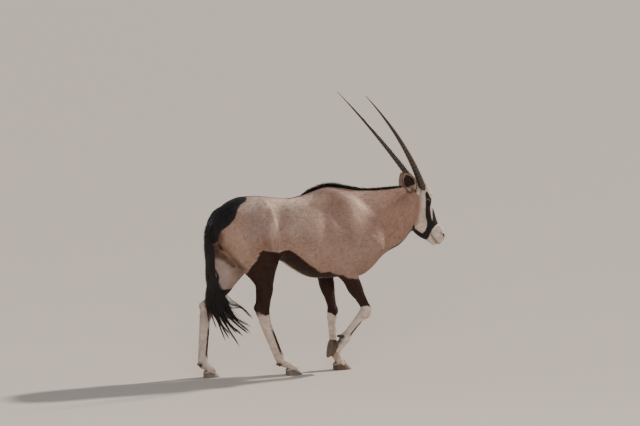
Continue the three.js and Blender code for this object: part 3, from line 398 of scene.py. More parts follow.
def eye_frame(side):
    """Directions out of the eye, along its slit, and up."""
    out = unit(at(0.28, side, 0.02))
    along = unit(EYE_AXIS - out * (EYE_AXIS @ out))
    up = np.cross(out, along)
    return out, along, up * np.sign(up[2])


def face_details(p, d):
    """Eyelids, tear line, mouth, nostrils and the groove of the muzzle."""
    u, v = head_uv(p)
    q = mirrored(p)
    c = in_head(*EYE)
    r = from_eye(p)
    d = join(d, r - (EYE_R + 3.4), FILLET["eyelid"])
    out, along, up = eye_frame(LEFT)
    a, b, o = ((q - c) @ w for w in (along, up, out))
    slit = (np.sqrt((a / 15.5) ** 2 + ((b + 0.03 * a * a - 2.4) / 8.2) ** 2) - 1) * 8
    d = np.where(o > 0, np.maximum(d, -slit), d)
    d = d - 1.2 * np.exp(-((np.abs(slit) - 4.5) / 2.0) ** 2) * (o > 0) * (r < 34)
    tear = bone(c + along * 15 - up, c + along * 30 - up * 7, 2.4, 1.0)(q)
    d = d + 2.0 * np.exp(-(np.maximum(tear, 0) / 2.4) ** 2) * (r > EYE_R + 1)
    m = line_distance(MOUTH, u, v)
    d = d + 5 * np.exp(-((m / 2.3) ** 2)) - 1.8 * np.exp(-(((m - 7) / 4.5) ** 2)) * smooth(255, 290, u)
    hole = blend(FILLET["nostril"], NOSTRIL)(q)
    d = d - 2.2 * np.exp(-((hole - 5) / 3.5) ** 2)
    d = np.maximum(d, -hole - 0.5)
    return d + 3.2 * np.exp(-((p[:, 1] / 3.0) ** 2)) * smooth(335, 356, u) * (v < 70)


FINER = 4  # the fine grid's cells along the edge of one coarse cell
CORNERS = np.array(list(np.ndindex(2, 2, 2)))


def shifted(grid, corner):
    """What the grid holds at that corner of each of its cells."""
    return grid[tuple(slice(c, n - 1 + c) for c, n in zip(corner, grid.shape))]


# The skin is read off a grid of distances as quads, one point to each cell that the surface crosses.
def skin_mesh(step):
    lo, hi = at(-830, -235, -12), at(880, 235, 1215)
    coarse = step * FINER
    axes = [np.arange(lo[i], hi[i] + coarse, coarse) for i in range(3)]
    grid = np.stack(np.meshgrid(*axes, indexing="ij"), -1).reshape(-1, 3)
    base = np.concatenate([skin_form(g, False) for g in np.array_split(grid, 8)])
    base = base.reshape([len(a) for a in axes]) + COAT
    fine = np.kron(base[:-1, :-1, :-1], np.ones([FINER] * 3)).astype(np.float32)
    corner = np.stack([shifted(base, c) for c in CORNERS])
    band = (np.abs(corner).min(0) < coarse * 1.5) | (corner.min(0) * corner.max(0) < 0)
    idx = (np.argwhere(band)[:, None] * FINER + np.array(list(np.ndindex(*[FINER] * 3)))).reshape(-1, 3)
    fine[tuple(idx.T)] = np.concatenate([skin_form(g) for g in np.array_split(lo + idx * step, 24)]) + COAT
    neg = fine < 0
    count = sum(shifted(neg, c).astype(np.int8) for c in CORNERS)
    active = np.argwhere((count > 0) & (count < 8))
    number = -np.ones(count.shape, np.int64)
    number[tuple(active.T)] = np.arange(len(active))
    total, weight = np.zeros((len(active), 3)), np.zeros(len(active))
    value = [fine[tuple((active + c).T)] for c in CORNERS]
    for a, b in zip(*np.triu_indices(8, 1)):
        edge = CORNERS[b] - CORNERS[a]
        if abs(edge).sum() == 1:
            cross = (value[a] < 0) != (value[b] < 0)
            t = np.where(cross, value[a] / np.where(cross, value[a] - value[b], 1), 0)
            total += np.where(cross[:, None], CORNERS[a] + t[:, None] * edge, 0)
            weight += cross
    quads = []
    for ax in range(3):
        a, b = [i for i in range(3) if i != ax]
        e, da, db = np.eye(3, dtype=int)[[ax, a, b]]
        cut = np.argwhere(shifted(neg, 0 * e) != shifted(neg, e))
        cut = cut[(cut[:, a] > 0) & (cut[:, b] > 0)]
        q = np.stack([number[tuple((cut - x).T)] for x in (0 * da, da, da + db, db)], 1)
        flip = neg[tuple(cut.T)] != (ax == 1)
        q[flip] = q[flip][:, ::-1]
        quads.append(q)
    quads = np.concatenate(quads)
    return lo + (active + total / weight[:, None]) * step, quads[(quads >= 0).all(1)][:, ::-1]


def gradient(f, p, e=0.6):
    k = np.array([[1, -1, -1], [-1, -1, 1], [-1, 1, -1], [1, 1, 1]], float)
    return sum(np.outer(f(p + c * e), c) for c in k) / (4 * e)


def settle(p, rounds):
    """The points moved onto the skin, which lies a coat's depth under the form."""
    for _ in range(rounds):
        parts = []
        for q in np.array_split(p, max(1, len(p) // 60000)):
            g = gradient(skin_form, q)
            move = np.clip((skin_form(q) + COAT) / np.maximum((g * g).sum(1), 0.25), -6, 6)
            parts.append(q - g * move[:, None])
        p = np.concatenate(parts)
    return p


# Meshes from arrays
def make(name, verts, faces, mat=None, replaces=()):
    me = bpy.data.meshes.new(name)
    faces = np.asarray(faces)
    me.vertices.add(len(verts))
    me.vertices.foreach_set("co", np.asarray(verts, np.float32).ravel())
    k = faces.shape[1]
    me.loops.add(faces.size)
    me.loops.foreach_set("vertex_index", faces.astype(np.int32).ravel())
    me.polygons.add(len(faces))
    me.polygons.foreach_set("loop_start", np.arange(0, faces.size, k, dtype=np.int32))
    me.update(calc_edges=True)
    me.validate()
    me.polygons.foreach_set("use_smooth", np.ones(len(me.polygons), bool))
    ob = bpy.data.objects.new(name, me)
    bpy.context.scene.collection.objects.link(ob)
    if mat:
        me.materials.append(mat)
    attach(ob, "root")
    if replaces:
        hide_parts(*replaces)
    return ob


def colour(ob, name, rgba):
    a = ob.data.color_attributes.new(name, "FLOAT_COLOR", "POINT")
    a.data.foreach_set("color", np.asarray(rgba, np.float32).ravel())


def read_points(ob):
    """An object's points in the pose's own frame, in mm."""
    p = np.empty(len(ob.data.vertices) * 3, np.float32)
    ob.data.vertices.foreach_get("co", p)
    return p.reshape(-1, 3).astype(float) * 1000 - FLOOR_CENTRE


def lathe(rings):
    """Points and faces of a closed tube whose rings all have the same number of points."""
    n, m = rings.shape[:2]
    idx = np.arange(n * m).reshape(n, m)
    nxt = np.roll(idx, -1, 1)
    tri = [
        np.stack([idx[:-1], nxt[:-1], idx[1:]], -1).reshape(-1, 3),
        np.stack([nxt[:-1], nxt[1:], idx[1:]], -1).reshape(-1, 3),
        np.stack([nxt[0], idx[0], np.full(m, n * m)], -1),
        np.stack([idx[-1], nxt[-1], np.full(m, n * m + 1)], -1)]
    return np.concatenate([rings.reshape(-1, 3), rings[:1].mean(1), rings[-1:].mean(1)]), np.concatenate(tri)


def on_rings(v, values, ends=0.0):
    """Values for a lathed piece: those of its rings, then the two end points'."""
    values = np.reshape(values, (len(v) - 2, -1))
    return np.concatenate([values, np.full((2, values.shape[1]), ends)])


def centripetal(p, n):
    """n points along smooth curves through the given ones, (N, K, 3)."""
    k = p.shape[1]
    p = np.concatenate([2 * p[:, :1] - p[:, 1:2], p, 2 * p[:, -1:] - p[:, -2:-1]], 1)
    t = np.linspace(0, k - 1 - 1e-9, n)
    i = t.astype(int)
    f = (t - i)[None, :, None]
    a, b, c, d = p[:, i], p[:, i + 1], p[:, i + 2], p[:, i + 3]
    return 0.5 * (2 * b + (c - a) * f + (2 * a - 5 * b + 4 * c - d) * f * f + (3 * b - a - 3 * c + d) * f**3)


def locks(path, side, wide, thick, power=0.7):
    """Flat tapered locks of three sides along paths (N, L, 3), in one mesh. Each path ends in a tip."""
    n, levels = path.shape[:2]
    along = unit(np.gradient(path, axis=1))
    s = np.broadcast_to(np.atleast_2d(side)[:, None], path.shape)
    s = unit(s - along * (s * along).sum(-1, keepdims=True))
    up = np.cross(along, s)
    t = np.linspace(0, 1, levels)[None, :, None]
    w = (1 - t) ** power * (0.75 + 0.25 * np.sin(np.minimum(t * 3, 1) * math.pi / 2))
    wide, thick = np.reshape(wide, (-1, 1, 1)) * w / 2, np.reshape(thick, (-1, 1, 1)) * w / 2
    under = path - up * thick * 0.5
    ring = np.stack([under + s * wide, under - s * wide, path + up * thick], 2)[:, :-1]
    verts = np.concatenate([ring.reshape(n, -1, 3), path[:, -1:]], 1)
    per = verts.shape[1]
    f = []
    for a in range(0, levels * 3 - 6, 3):
        for b in range(3):
            c = (b + 1) % 3
            f += [[a + b, a + c, a + 3 + b], [a + c, a + 3 + c, a + 3 + b]]
    last = (levels - 2) * 3
    f += [[last, last + 1, per - 1], [last + 1, last + 2, per - 1], [last + 2, last, per - 1], [0, 2, 1]]
    faces = (np.array(f)[None] + (np.arange(n) * per)[:, None, None]).reshape(-1, 3)
    return verts.reshape(-1, 3), faces, per


def bake_map(ob, spots, per):
    """Each lock is a small patch at its root's place on the unwrap of the skin."""
    me = ob.data
    v = np.empty(len(me.loops), np.int32)
    me.loops.foreach_get("vertex_index", v)
    k = v % per
    jitter = np.stack([(k % 3) * 0.0011, (k // 3) * 0.003 / max(per // 3, 1)], 1)
    uv = me.uv_layers.new(name="OFBake")
    uv.data.foreach_set("uv", (spots[v // per] + jitter).astype(np.float32).ravel())


def angle(y, x):
    """Angle as a share of a full turn."""
    return np.arctan2(y, x) / math.tau + 0.5


def unwrap(p):
    """The pelt laid out flat: trunk, neck and head round their middle line, and each leg round its own."""
    x, y, z = p.T
    u, v = head_uv(p)
    head = x > 620
    s = np.where(head, 0.8 + 0.19 * smooth(-60, 380, u), 0.01 + 0.79 * (x + 830) / 1450)
    turn = np.where(head, angle(y, 90 - v), angle(y, z - (BACK(x) * 0.5 + BELLY(x) * 0.5)))
    out = np.stack([s, 0.01 + 0.55 * turn], 1)
    for i, j in enumerate(J.values()):
        down = np.clip((j["bend"][2] - z) / (j["bend"][2] - j["fetlock"][2]), -1, 1.3)[:, None]
        q = p - mix(j["bend"], j["fetlock"], down)
        near = (z < 600) & (np.linalg.norm(q, axis=1) < 150)
        leg = np.stack([0.01 + 0.245 * i + 0.22 * angle(q[:, 1], q[:, 0]), 0.6 + 0.38 * z / 620], 1)
        out = np.where(near[:, None], leg, out)
    return out


# Markings: signed distances in mm, above zero inside each area
def poly(rows, x, z):
    return -line_distance(rows, x, z, closed=True)


BAND = [
    (-470, 800), (-399, 789), (-343, 778), (-302, 792), (-263, 801), (-222, 776), (-147, 712), (-81, 667),
    (-42, 640), (20, 644), (55, 625), (86, 622), (121, 603), (181, 593), (235, 588), (235, 520), (-100, 540),
    (-330, 690), (-460, 740)]
THIGH = [
    (-548, 600), (-529, 680), (-516, 709), (-488, 740), (-469, 782), (-448, 811), (-408, 802), (-330, 785),
    (-285, 760), (-270, 500), (-330, 430), (-372, 390), (-392, 397), (-412, 392), (-430, 404), (-452, 416),
    (-520, 430), (-560, 520)]
RUMP = [
    (-470, 1150), (-505, 1116), (-552, 1092), (-587, 1061), (-612, 1010), (-649, 969), (-684, 937),
    (-698, 908), (-694, 850), (-790, 850), (-790, 1150)]
BUTTOCK = [(-694, 850), (-650, 790), (-600, 740), (-545, 690)]
HAM = [
    (-694, 862), (-650, 790), (-600, 740), (-545, 690), (-552, 680), (-606, 716), (-650, 742), (-690, 744),
    (-750, 744), (-760, 862)]
FORE_RIGHT = [
    (85, 625), (121, 603), (181, 593), (235, 588), (340, 592), (340, 420), (283, 409), (255, 416), (236, 409),
    (224, 398), (130, 420), (40, 560)]
FORE_LEFT = [
    (0, 640), (220, 600), (220, 366), (122, 362), (112, 356), (98, 340), (86, 350), (70, 362), (-20, 380)]
FACE_BLACK = [
    (8, 24), (22, 38), (40, 44), (77, 61), (116, 80), (157, 92), (194, 92), (223, 104), (243, 124),
    (255, 152), (262, 190), (300, 190), (305, 125), (277, 101), (258, 78), (243, 48), (245, 17), (245, -40),
    (108, -40), (112, 10), (129, 22), (169, 40), (202, 52), (207, 57), (169, 52), (126, 42), (96, 30),
    (84, 16), (66, 10), (40, 10), (18, 14)]
FACE_WHITE = [
    (-34, -60), (-28, 20), (6, 59), (50, 88), (98, 111), (143, 138), (179, 162), (196, 230), (430, 230),
    (430, -60)]
FAWN = at(0.355, 0.228, 0.180)
FAR_SPOT = 640  # the height of the one spot that lies on the far side alone
# Spots where the coat departs from fawn, by its own tone and by painted highlights and shade: x, z, reach
# along x and z, colour
COAT_TONES_AND_PAINTED_LIGHT = [
    # painted highlights on the sunlit top of the rump (-480, 1095), the loin (-220, 1100), the lit fold of
    # the flank (-362, 960), the flank in front of it (-240, 930) and the shoulder (215, 1020); painted shade
    # behind the shoulder (60, 1050)
    (-640, 830, 130, 130, 0.45, 0.295, 0.205), (-480, 1095, 130, 50, 0.50, 0.37, 0.31),
    (-470, 960, 80, 110, 0.31, 0.22, 0.190), (-220, 1100, 200, 44, 0.80, 0.57, 0.45),
    (-362, 960, 30, 110, 0.60, 0.44, 0.36), (-240, 930, 60, 50, 0.46, 0.34, 0.28),
    (-100, 740, 260, 80, 0.41, 0.265, 0.205), (-240, 1040, 90, 50, 0.31, 0.215, 0.175),
    (-60, 980, 60, 100, 0.46, 0.305, 0.235), (215, 1020, 55, 105, 0.76, 0.52, 0.385),
    (60, 1050, 60, 110, 0.30, 0.185, 0.135), (470, 960, 130, 160, 0.385, 0.215, 0.155),
    (520, 1080, 90, 50, 0.31, 0.175, 0.12), (360, 740, 120, 110, 0.38, 0.24, 0.185),
    (690, 1000, 90, 90, 0.40, 0.23, 0.165), (-430, 830, 70, 60, 0.28, 0.16, 0.11),
    (-640, FAR_SPOT, 130, 150, 0.56, 0.44, 0.385)]
AWAY = -40  # mm, the code for well outside an area


def near_limb(p, name):
    """Share of the way from hock or knee to fetlock, and the offset from that line."""
    j = J[name]
    top, line = j["bend"], j["fetlock"] - j["bend"]
    t = ((p - top) @ line) / (line @ line)
    return t, p - (top + np.clip(t, -0.4, 1)[:, None] * line)


def any_of(*areas):
    return np.maximum.reduce(np.broadcast_arrays(*areas))


def all_of(*areas):
    return np.minimum.reduce(np.broadcast_arrays(*areas))


def markings(p):
    """Colour of the fawn coat with its painted highlights and shade, and how far each point lies inside the
    dark, pale and brown areas.
    """
    x, y, z = p.T
    ay, right = np.abs(y), y < 0
    belly = BELLY(x)
    # the far thigh's marking swings back with its leg
    turn = np.radians(39.4) * smooth(800, 640, z) * (~right) * (x < -300)
    dx, dz = x + 470, z - 708
    xr = x + 72 * turn / 0.6877 + dx * (np.cos(turn) - 1) - dz * np.sin(turn)
    zr = z + 8 * turn / 0.6877 + dz * (np.cos(turn) - 1) + dx * np.sin(turn)
    thigh = any_of(ay - 92 + 10 * smooth(650, 500, z), 548 - z) + 40 * (x > -300)
    buttock = line_distance(BUTTOCK, x, z)
    dorsal = 13 + 8 * smooth(-130, -40, x) - 11 * smooth(90, 230, x)
    throat = 14 + 34 * smooth(350, 430, x) - 16 * smooth(515, 575, x)
    dark = any_of(
        all_of(poly(BAND, x, z), any_of(ay - 40, z - belly - 16)),
        all_of(poly(THIGH, xr, zr), thigh),
        all_of(poly(RUMP, x, z), z - 842 - 0.55 * np.maximum(ay - 30, 0)),
        mix(all_of(4.5 - buttock, ay - 40), -9, smooth(-640, -560, x)),
        all_of(dorsal - ay, z - BACK(x) + 46, x + 560, 600 - x),
        all_of(throat - ay, belly + 46 - z, x - 372, 640 - x),
        np.where(right, poly(FORE_RIGHT, x, z), poly(FORE_LEFT, x, z)))
    pale = any_of(
        all_of(40 - ay, belly + 16 - z, x + 330, 230 - x),
        np.where(x > 0, np.where(right, 430, 384), 440) - z,
        np.where(right | (x > -500), AWAY, np.minimum(474 - z, -722 - x)))
    foot = np.full(len(p), float(AWAY))
    for n in J:
        t, q = near_limb(p, n)
        near = (np.linalg.norm(q, axis=1) < 75) & (t > 0)
        front = -(q @ J[n]["back"])
        if n != "fore_left":
            stripe = all_of(24 - np.abs(q[:, 1]), front - 10 + 10 * t, (t - 0.34) * 60, (0.86 - t) * 60)
            dark = np.where(near, np.maximum(dark, stripe), dark)
        foot = np.where(near, np.maximum(foot, 9 - np.abs(t - 1.03) * 230 - 26 * (front > -14)), foot)
    j = J["fore_right"]
    # painted shade on the rear of the lifted fore leg's pastern
    pastern_shade = mix(j["fetlock"], j["coronet"], 0.6) + j["back"] * 22
    brown = any_of(
        foot, 30 - np.linalg.norm(p - pastern_shade, axis=1),
        np.minimum(34 - np.abs(zr - 428), -412 - xr),
        18 - 12 * smooth(-690, -610, x) - buttock - 60 * (ay < 30),
        22 - line_distance([(-697, 905), (-694, 850)], x, z),
        poly(HAM, x, z) - 60 * (ay < 18))
    u, v = head_uv(p)
    on_head = (u > -70) & (x > 600) & (v < 205)
    black = poly(FACE_BLACK, u, v)
    black = np.where((v < 18) & (u < 175), np.minimum(black, 5 + (u - 108) * 0.75 - ay), black)
    jaw = 14 - line_distance([(262, 150), (246, 165), (225, 178), (198, 192), (174, 198)], u, v)
    brow = all_of(22 - 0.3 * np.maximum(u - 12, 0) - ay, 26 - v, u + 16, 60 - u)
    chin = all_of(24 - ay, u - 150, 262 - u) - 60 * (v < 165)
    nose = 5.5 - all_of(*[n(mirrored(p)) for n in NOSTRIL])
    dark = np.where(on_head, any_of(black, jaw, brow, chin, nose), dark)
    white = any_of(
        poly(FACE_WHITE, u, v) * (1 - 0.55 * smooth(50, 80, v) * smooth(205, 180, u)),
        15 - line_distance([(-50, 50), (-20, 72), (-8, 78)], u, v))
    pale = np.where(on_head, white, pale)
    lip = np.where(u < 372, 5.5 - line_distance(MOUTH, u, v), AWAY)
    brown = np.where(on_head, np.maximum(lip, -9 - 60 * smooth(178, 215, u) - 60 * (v < 30)), brown)
    # the lower hind legs grow browner towards the hock, the left ones more than the right
    tone_shift = np.where(right, -21, -14) + 9 * smooth(250, 390, z)
    brown = np.maximum(brown, np.where((x < 0) & (z < 420), tone_shift, AWAY))
    c = np.ones((len(p), 3)) * FAWN
    # the coat's own tones, with painted highlights and painted shade among them
    for cx, cz, rx, rz, *rgb in COAT_TONES_AND_PAINTED_LIGHT:
        w = 0.85 * np.exp(-(((x - cx) / rx) ** 2) - ((z - cz) / rz) ** 2)
        c = mix(c, at(*rgb), (w * ~(right & (cz == FAR_SPOT)))[:, None])
    black_hair = on_head | ((x < -470) & (z > 850)) | ((x > -150) & (z > 1000))
    return c, dark, pale, brown, smooth(690, 600, z), 1.0 - black_hair


def code(d):
    """A distance as a colour channel: a half on an area's edge."""
    return np.clip(0.5 + d / 80, 0, 1)


def paint(ob, p, per=1, vary=1.0, dark=None, pale=None):
    """Coat colours at p for the points of ob, which stand on each p in groups of per."""
    c, dark_at, pale_at, brown, vertical, kind = markings(p)
    areas = [0 * d + g if g is not None else d for d, g in ((dark_at, dark), (pale_at, pale), (brown, None))]
    colour(ob, "tint", np.repeat(np.column_stack([c * vary, kind]), per, 0))
    colour(ob, "mark", np.repeat(np.column_stack([code(d) for d in areas] + [vertical]), per, 0))


# Materials
def node(t, kind, ins=(), **props):
    n = t.nodes.new("ShaderNode" + kind)
    for k, v in props.items():
        setattr(n, k, v)
    for k, v in dict(ins).items():
        if isinstance(v, bpy.types.NodeSocket):
            t.links.new(v, n.inputs[k])
        else:
            n.inputs[k].default_value = v
    return n


def material(name, rough, **sockets):
    m = bpy.data.materials.new(name)
    m.use_nodes = True
    b = m.node_tree.nodes["Principled BSDF"]
    b.inputs["Roughness"].default_value = rough
    for k, v in sockets.items():
        b.inputs[k.replace("_", " ")].default_value = v
    return m, m.node_tree, b


def noise(t, vec, scale, detail=3.0, rough=0.55, stretch=None):
    if stretch:
        vec = node(t, "Mapping", {"Vector": vec, "Scale": stretch}).outputs[0]
    ins = {"Vector": vec, "Scale": scale, "Detail": detail, "Roughness": rough}
    return node(t, "TexNoise", ins).outputs["Fac"]


def math_node(t, op, a, b=0.0, c=0.0):
    return node(t, "Math", {0: a, 1: b, 2: c}, operation=op).outputs[0]


def span(t, v, a, b, c=0.0, d=1.0):
    ins = {"Value": v, "From Min": a, "From Max": b, "To Min": c, "To Max": d}
    return node(t, "MapRange", ins).outputs[0]


def blend_colour(t, fac, a, b, mode="MIX"):
    return node(t, "Mix", {0: fac, 6: a, 7: b}, data_type="RGBA", blend_type=mode).outputs[2]


def rgb_node(t, *values):
    return node(t, "CombineColor", dict(zip(("Red", "Green", "Blue"), values))).outputs[0]


def surface(t, b, base, rough, height, strength, depth):
    t.links.new(base, b.inputs["Base Color"])
    if rough:
        t.links.new(rough, b.inputs["Roughness"])
    bump = node(t, "Bump", {"Strength": strength, "Distance": depth, "Height": height})
    t.links.new(bump.outputs[0], b.inputs["Normal"])


# Pigments of the coat
DUSTY_WHITE, WHITE = (0.56, 0.43, 0.345, 1), (0.78, 0.67, 0.59, 1)
BROWN, BLACK, DARK_BROWN = (0.075, 0.036, 0.021, 1), (0.013, 0.011, 0.012, 1), (0.032, 0.0125, 0.0078, 1)


def coat_material(name, gloss):
    m, t, b = material(name, 0.62, Sheen_Weight=0.03, Sheen_Roughness=0.4, Specular_IOR_Level=0.2)
    tint = node(t, "Attribute", attribute_name="tint").outputs
    mark = node(t, "Attribute", attribute_name="mark").outputs
    obj = node(t, "TexCoord").outputs["Object"]
    across = noise(t, obj, 330, stretch=(0.11, 1, 0.8))
    down = noise(t, obj, 330, stretch=(1, 1, 0.11))
    strand = node(t, "Mix", {0: mark["Alpha"], 2: across, 3: down}).outputs[0]
    clump = noise(t, obj, 62, stretch=(0.35, 1, 0.7))
    broad = noise(t, obj, 7, 4.0)
    area = node(t, "SeparateColor", {"Color": mark["Color"]}).outputs
    edge = math_node(t, "MULTIPLY_ADD", strand, 0.16, math_node(t, "MULTIPLY_ADD", clump, 0.10, -0.13))

    def inside(channel, soft):
        return span(t, math_node(t, "ADD", area[channel], edge), 0.5 - soft, 0.5 + soft)

    mottle = rgb_node(t, *[span(t, broad, 0.25, 0.75, 1 - d, 1 + d) for d in (0.10, 0.12, 0.14)])
    base = blend_colour(t, 1.0, tint["Color"], mottle, "MULTIPLY")
    tone_shift = span(t, clump, 0.3, 0.75)
    white = blend_colour(t, tone_shift, DUSTY_WHITE, WHITE)
    base = blend_colour(t, inside("Green", 0.085), base, white)
    brown = math_node(t, "MULTIPLY", inside("Blue", 0.14), 0.8)
    base = blend_colour(t, brown, base, BROWN)
    ink = blend_colour(t, tint["Alpha"], BLACK, DARK_BROWN)
    base = blend_colour(t, inside("Red", 0.035), base, ink)
    shade = span(t, strand, 0.25, 0.75, 0.86, 1.12)
    shade = math_node(t, "MULTIPLY", shade, span(t, clump, 0.25, 0.75, 0.97, 1.03))
    base = blend_colour(t, 1.0, base, rgb_node(t, shade, shade, shade), "MULTIPLY")
    rough = span(t, strand, 0.2, 0.8, gloss + 0.1, gloss - 0.1)
    surface(t, b, base, rough, math_node(t, "MULTIPLY_ADD", clump, 0.25, strand), 0.5, 0.0016)
    return m


def grain_material(name, rough, low, high, ridge, stretch, scale, bump):
    """Horn, hoof and hair: colour and relief follow a grain that each piece carries."""
    m, t, b = material(name, rough)
    g = node(t, "Attribute", attribute_name="grain").outputs
    streak = noise(t, g["Vector"], scale, 5.0, 0.6, stretch)
    blot = noise(t, node(t, "TexCoord").outputs["Object"], 24, 4.0)
    both = math_node(t, "MULTIPLY_ADD", streak, 0.75, math_node(t, "MULTIPLY", blot, 0.3))
    base = blend_colour(t, span(t, both, 0.36, 0.70), (*low, 1), (*high, 1))
    base = blend_colour(t, g["Alpha"], base, (*ridge, 1))
    surface(t, b, base, span(t, streak, 0.3, 0.7, rough - 0.08, rough + 0.1), streak, bump, 0.0012)
    return m


def hoof_material(name, low, high, ridge):
    return grain_material(name, 0.5, low, high, ridge, (0.25, 0.25, 1), 300, 0.6)


def eye_material():
    m, t, b = material("eye_wet", 0.12, Coat_Weight=1.0, Coat_Roughness=0.02, Specular_IOR_Level=0.5)
    tint = node(t, "Attribute", attribute_name="tint").outputs["Color"]
    fibre = noise(t, node(t, "Attribute", attribute_name="grain").outputs["Vector"], 9, 5.0)
    base = blend_colour(t, span(t, fibre, 0.3, 0.7, 0.0, 0.5), tint, (0.004, 0.0025, 0.002, 1))
    surface(t, b, base, None, fibre, 0.06, 0.0003)
    return m


COAT_MAT = coat_material("short_coat", 0.60)
HORN_MAT = grain_material(
    "horn_keratin", 0.36, (0.011, 0.0070, 0.0045), (0.046, 0.030, 0.019), (0.105, 0.076, 0.052),
    (1, 1, 0.06), 260, 0.5)
# two copies of the hoof keratin: the hind one painted pale as if sunlit, the fore one darker
SUNLIT_HIND_HOOF_MAT = hoof_material("hind_hoof_keratin_painted_sunlit", (0.085, 0.064, 0.048), (0.30, 0.235, 0.18), (0.36, 0.29, 0.225))
FORE_HOOF_MAT = hoof_material(
    "fore_hoof_keratin", (0.034, 0.020, 0.011), (0.14, 0.092, 0.055), (0.24, 0.175, 0.12))
DEW_MAT = hoof_material("dewclaw_keratin", (0.018, 0.015, 0.013), (0.060, 0.050, 0.042), (0.09, 0.075, 0.06))
TAIL_MAT = grain_material(
    "tail_hair", 0.44, (0.0075, 0.0068, 0.0070), (0.026, 0.023, 0.024), (0.045, 0.036, 0.034),
    (1, 1, 0.03), 500, 0.4)
EYE_MAT = eye_material()

# Skin over trunk, neck, head and legs
STEP = 5.6
verts, quads = skin_mesh(STEP)
FLESH = ["torso", "neck", "head"] + [f"{n}_{k}" for n in J for k in ("upper", "lower")]
skin = make("skin", metres(settle(verts, 2)), quads)
skin_bm = bmesh.new()
skin_bm.from_mesh(skin.data)


def denser(bm, wanted):
    """Halves the edges of the wanted area and settles the new points on the skin."""
    def places(verts):
        return np.array([v.co[:] for v in verts]) * 1000 - FLOOR_CENTRE

    bm.verts.ensure_lookup_table()
    keep = wanted(places(bm.verts))
    edges = [e for e in bm.edges if keep[e.verts[0].index] and keep[e.verts[1].index]]
    old = len(bm.verts)
    bmesh.ops.subdivide_edges(bm, edges=edges, cuts=1, use_grid_fill=True)
    bm.verts.ensure_lookup_table()
    bm.verts.index_update()
    fresh = list(bm.verts)[old:]
    for v, c in zip(fresh, metres(settle(places(fresh), 3))):
        v.co = c


def on_face(p):
    u, v = head_uv(p)
    return (u > -40) & (v < 190) & (p[:, 0] > 660)


def fine_spots(p):
    u, v = head_uv(p)
    return (from_eye(p) < 40) | (on_face(p) & (u > 295) & (v < 105))


denser(skin_bm, on_face)
denser(skin_bm, fine_spots)
denser(skin_bm, lambda p: from_eye(p) < 28)
bmesh.ops.triangulate(skin_bm, faces=skin_bm.faces[:])
skin_bm.to_mesh(skin.data)
skin_bm.free()
skin.data.polygons.foreach_set("use_smooth", np.ones(len(skin.data.polygons), bool))
skin.data.materials.append(COAT_MAT)
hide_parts(*FLESH)
paint(skin, read_points(skin))


def lie(p):
    """Lie of the coat: backward along the body, down the legs, up the face."""
    x, z = p[:, :1], p[:, 2:]
    u = head_uv(p)[0][:, None]
    d = mix(at(-1, 0, -0.32), at(-0.72, 0, -0.62), smooth(250, 480, x))
    d = mix(d, at(-0.35, 0, 0) - DOWN, smooth(630, 700, x) * smooth(-70, 20, u))
    t, q = near_limb(p, "fore_right")
    bent = ((t > 0) & (np.linalg.norm(q, axis=1) < 80))[:, None]
    leg = np.where(bent, unit(J["fore_right"]["fetlock"] - J["fore_right"]["knee"]), at(-0.1, 0, -1))
    return unit(mix(d, leg, smooth(720, 600, z) * (x < 620)))


def scatter(ob, count, keep):
    """Random points of ob's surface and its normals there, as dense as keep says."""
    me = ob.data
    tri = np.empty(len(me.polygons) * 3, np.int32)
    me.polygons.foreach_get("vertices", tri)
    a, b, c = read_points(ob)[tri.reshape(-1, 3).T]
    n = np.cross(b - a, c - a)
    area = np.linalg.norm(n, axis=1) * keep((a + b + c) / 3)
    pick = np.searchsorted(np.cumsum(area), rng.random(count) * area.sum())
    r1, r2 = np.sqrt(rng.random(count))[:, None], rng.random(count)[:, None]
    return a[pick] * (1 - r1) + b[pick] * (r1 * (1 - r2)) + c[pick] * (r1 * r2), unit(n[pick])


def coat_density(p):
    u, v = head_uv(p)
    head = (p[:, 0] > 660) & (u > -40)
    nose = head & (u > 322) & (v < 66)
    lips = head & (line_distance(MOUTH, u, v) < 9)
    return (from_eye(p) > 33) * ~nose * ~lips * np.where(head, 2.2, 1.0) * np.where(p[:, 2] < 600, 1.25, 1.0)


def hair(name, path, side, wide, thick, roots, dark=None, pale=None, spots=None):
    """Locks along the paths, painted as the skin is at their roots."""
    v, f, per = locks(path, side, wide, thick)
    ob = make(name, metres(v), f, COAT_MAT)
    paint(ob, roots, per, rng.uniform(0.91, 1.09, (len(roots), 1)), dark, pale)
    bake_map(ob, unwrap(roots) if spots is None else spots, per)


TUFTS = 19000
TUFT = dict(length=12.5, wide=2.7, thick=0.7)  # mm


def tufts(name, keep):
    roots, normal = scatter(skin, TUFTS, lambda m: coat_density(m) * keep(m))
    head = smooth(-60, 60, head_uv(roots)[0]) * smooth(600, 680, roots[:, 0])
    leg = smooth(620, 420, roots[:, 2]) * (roots[:, 0] < 620)
    size = (1 - 0.58 * head) * (1 - 0.3 * leg)
    d = lie(roots)
    d = d - normal * (d * normal).sum(1, keepdims=True)
    d = unit(unit(d) + 0.11 * rng.normal(size=d.shape))
    d = unit(d - normal * (d * normal).sum(1, keepdims=True))
    far = d * (TUFT["length"] * size * rng.uniform(0.7, 1.25, TUFTS))[:, None]
    lift = normal * (rng.uniform(0.6, 1.7, TUFTS) * (1 - 0.3 * head))[:, None]
    path = np.stack([roots - normal * 0.9, roots + far * 0.45 + lift * 0.75, roots + far + lift], 1)
    hair(name, path, np.cross(normal, d), TUFT["wide"] * size, TUFT["thick"] * size, roots)


BODY_HAIR = 560  # mm, the coat's pieces over the body end at this height
tufts("coat_rear", lambda p: (p[:, 0] < -330) & (p[:, 2] > BODY_HAIR))
tufts("coat_middle", lambda p: (p[:, 0] >= -330) & (p[:, 0] < 200) & (p[:, 2] > BODY_HAIR))
tufts("coat_front", lambda p: (p[:, 0] >= 200) & (p[:, 2] > BODY_HAIR))
tufts("coat_legs", lambda p: p[:, 2] <= BODY_HAIR)

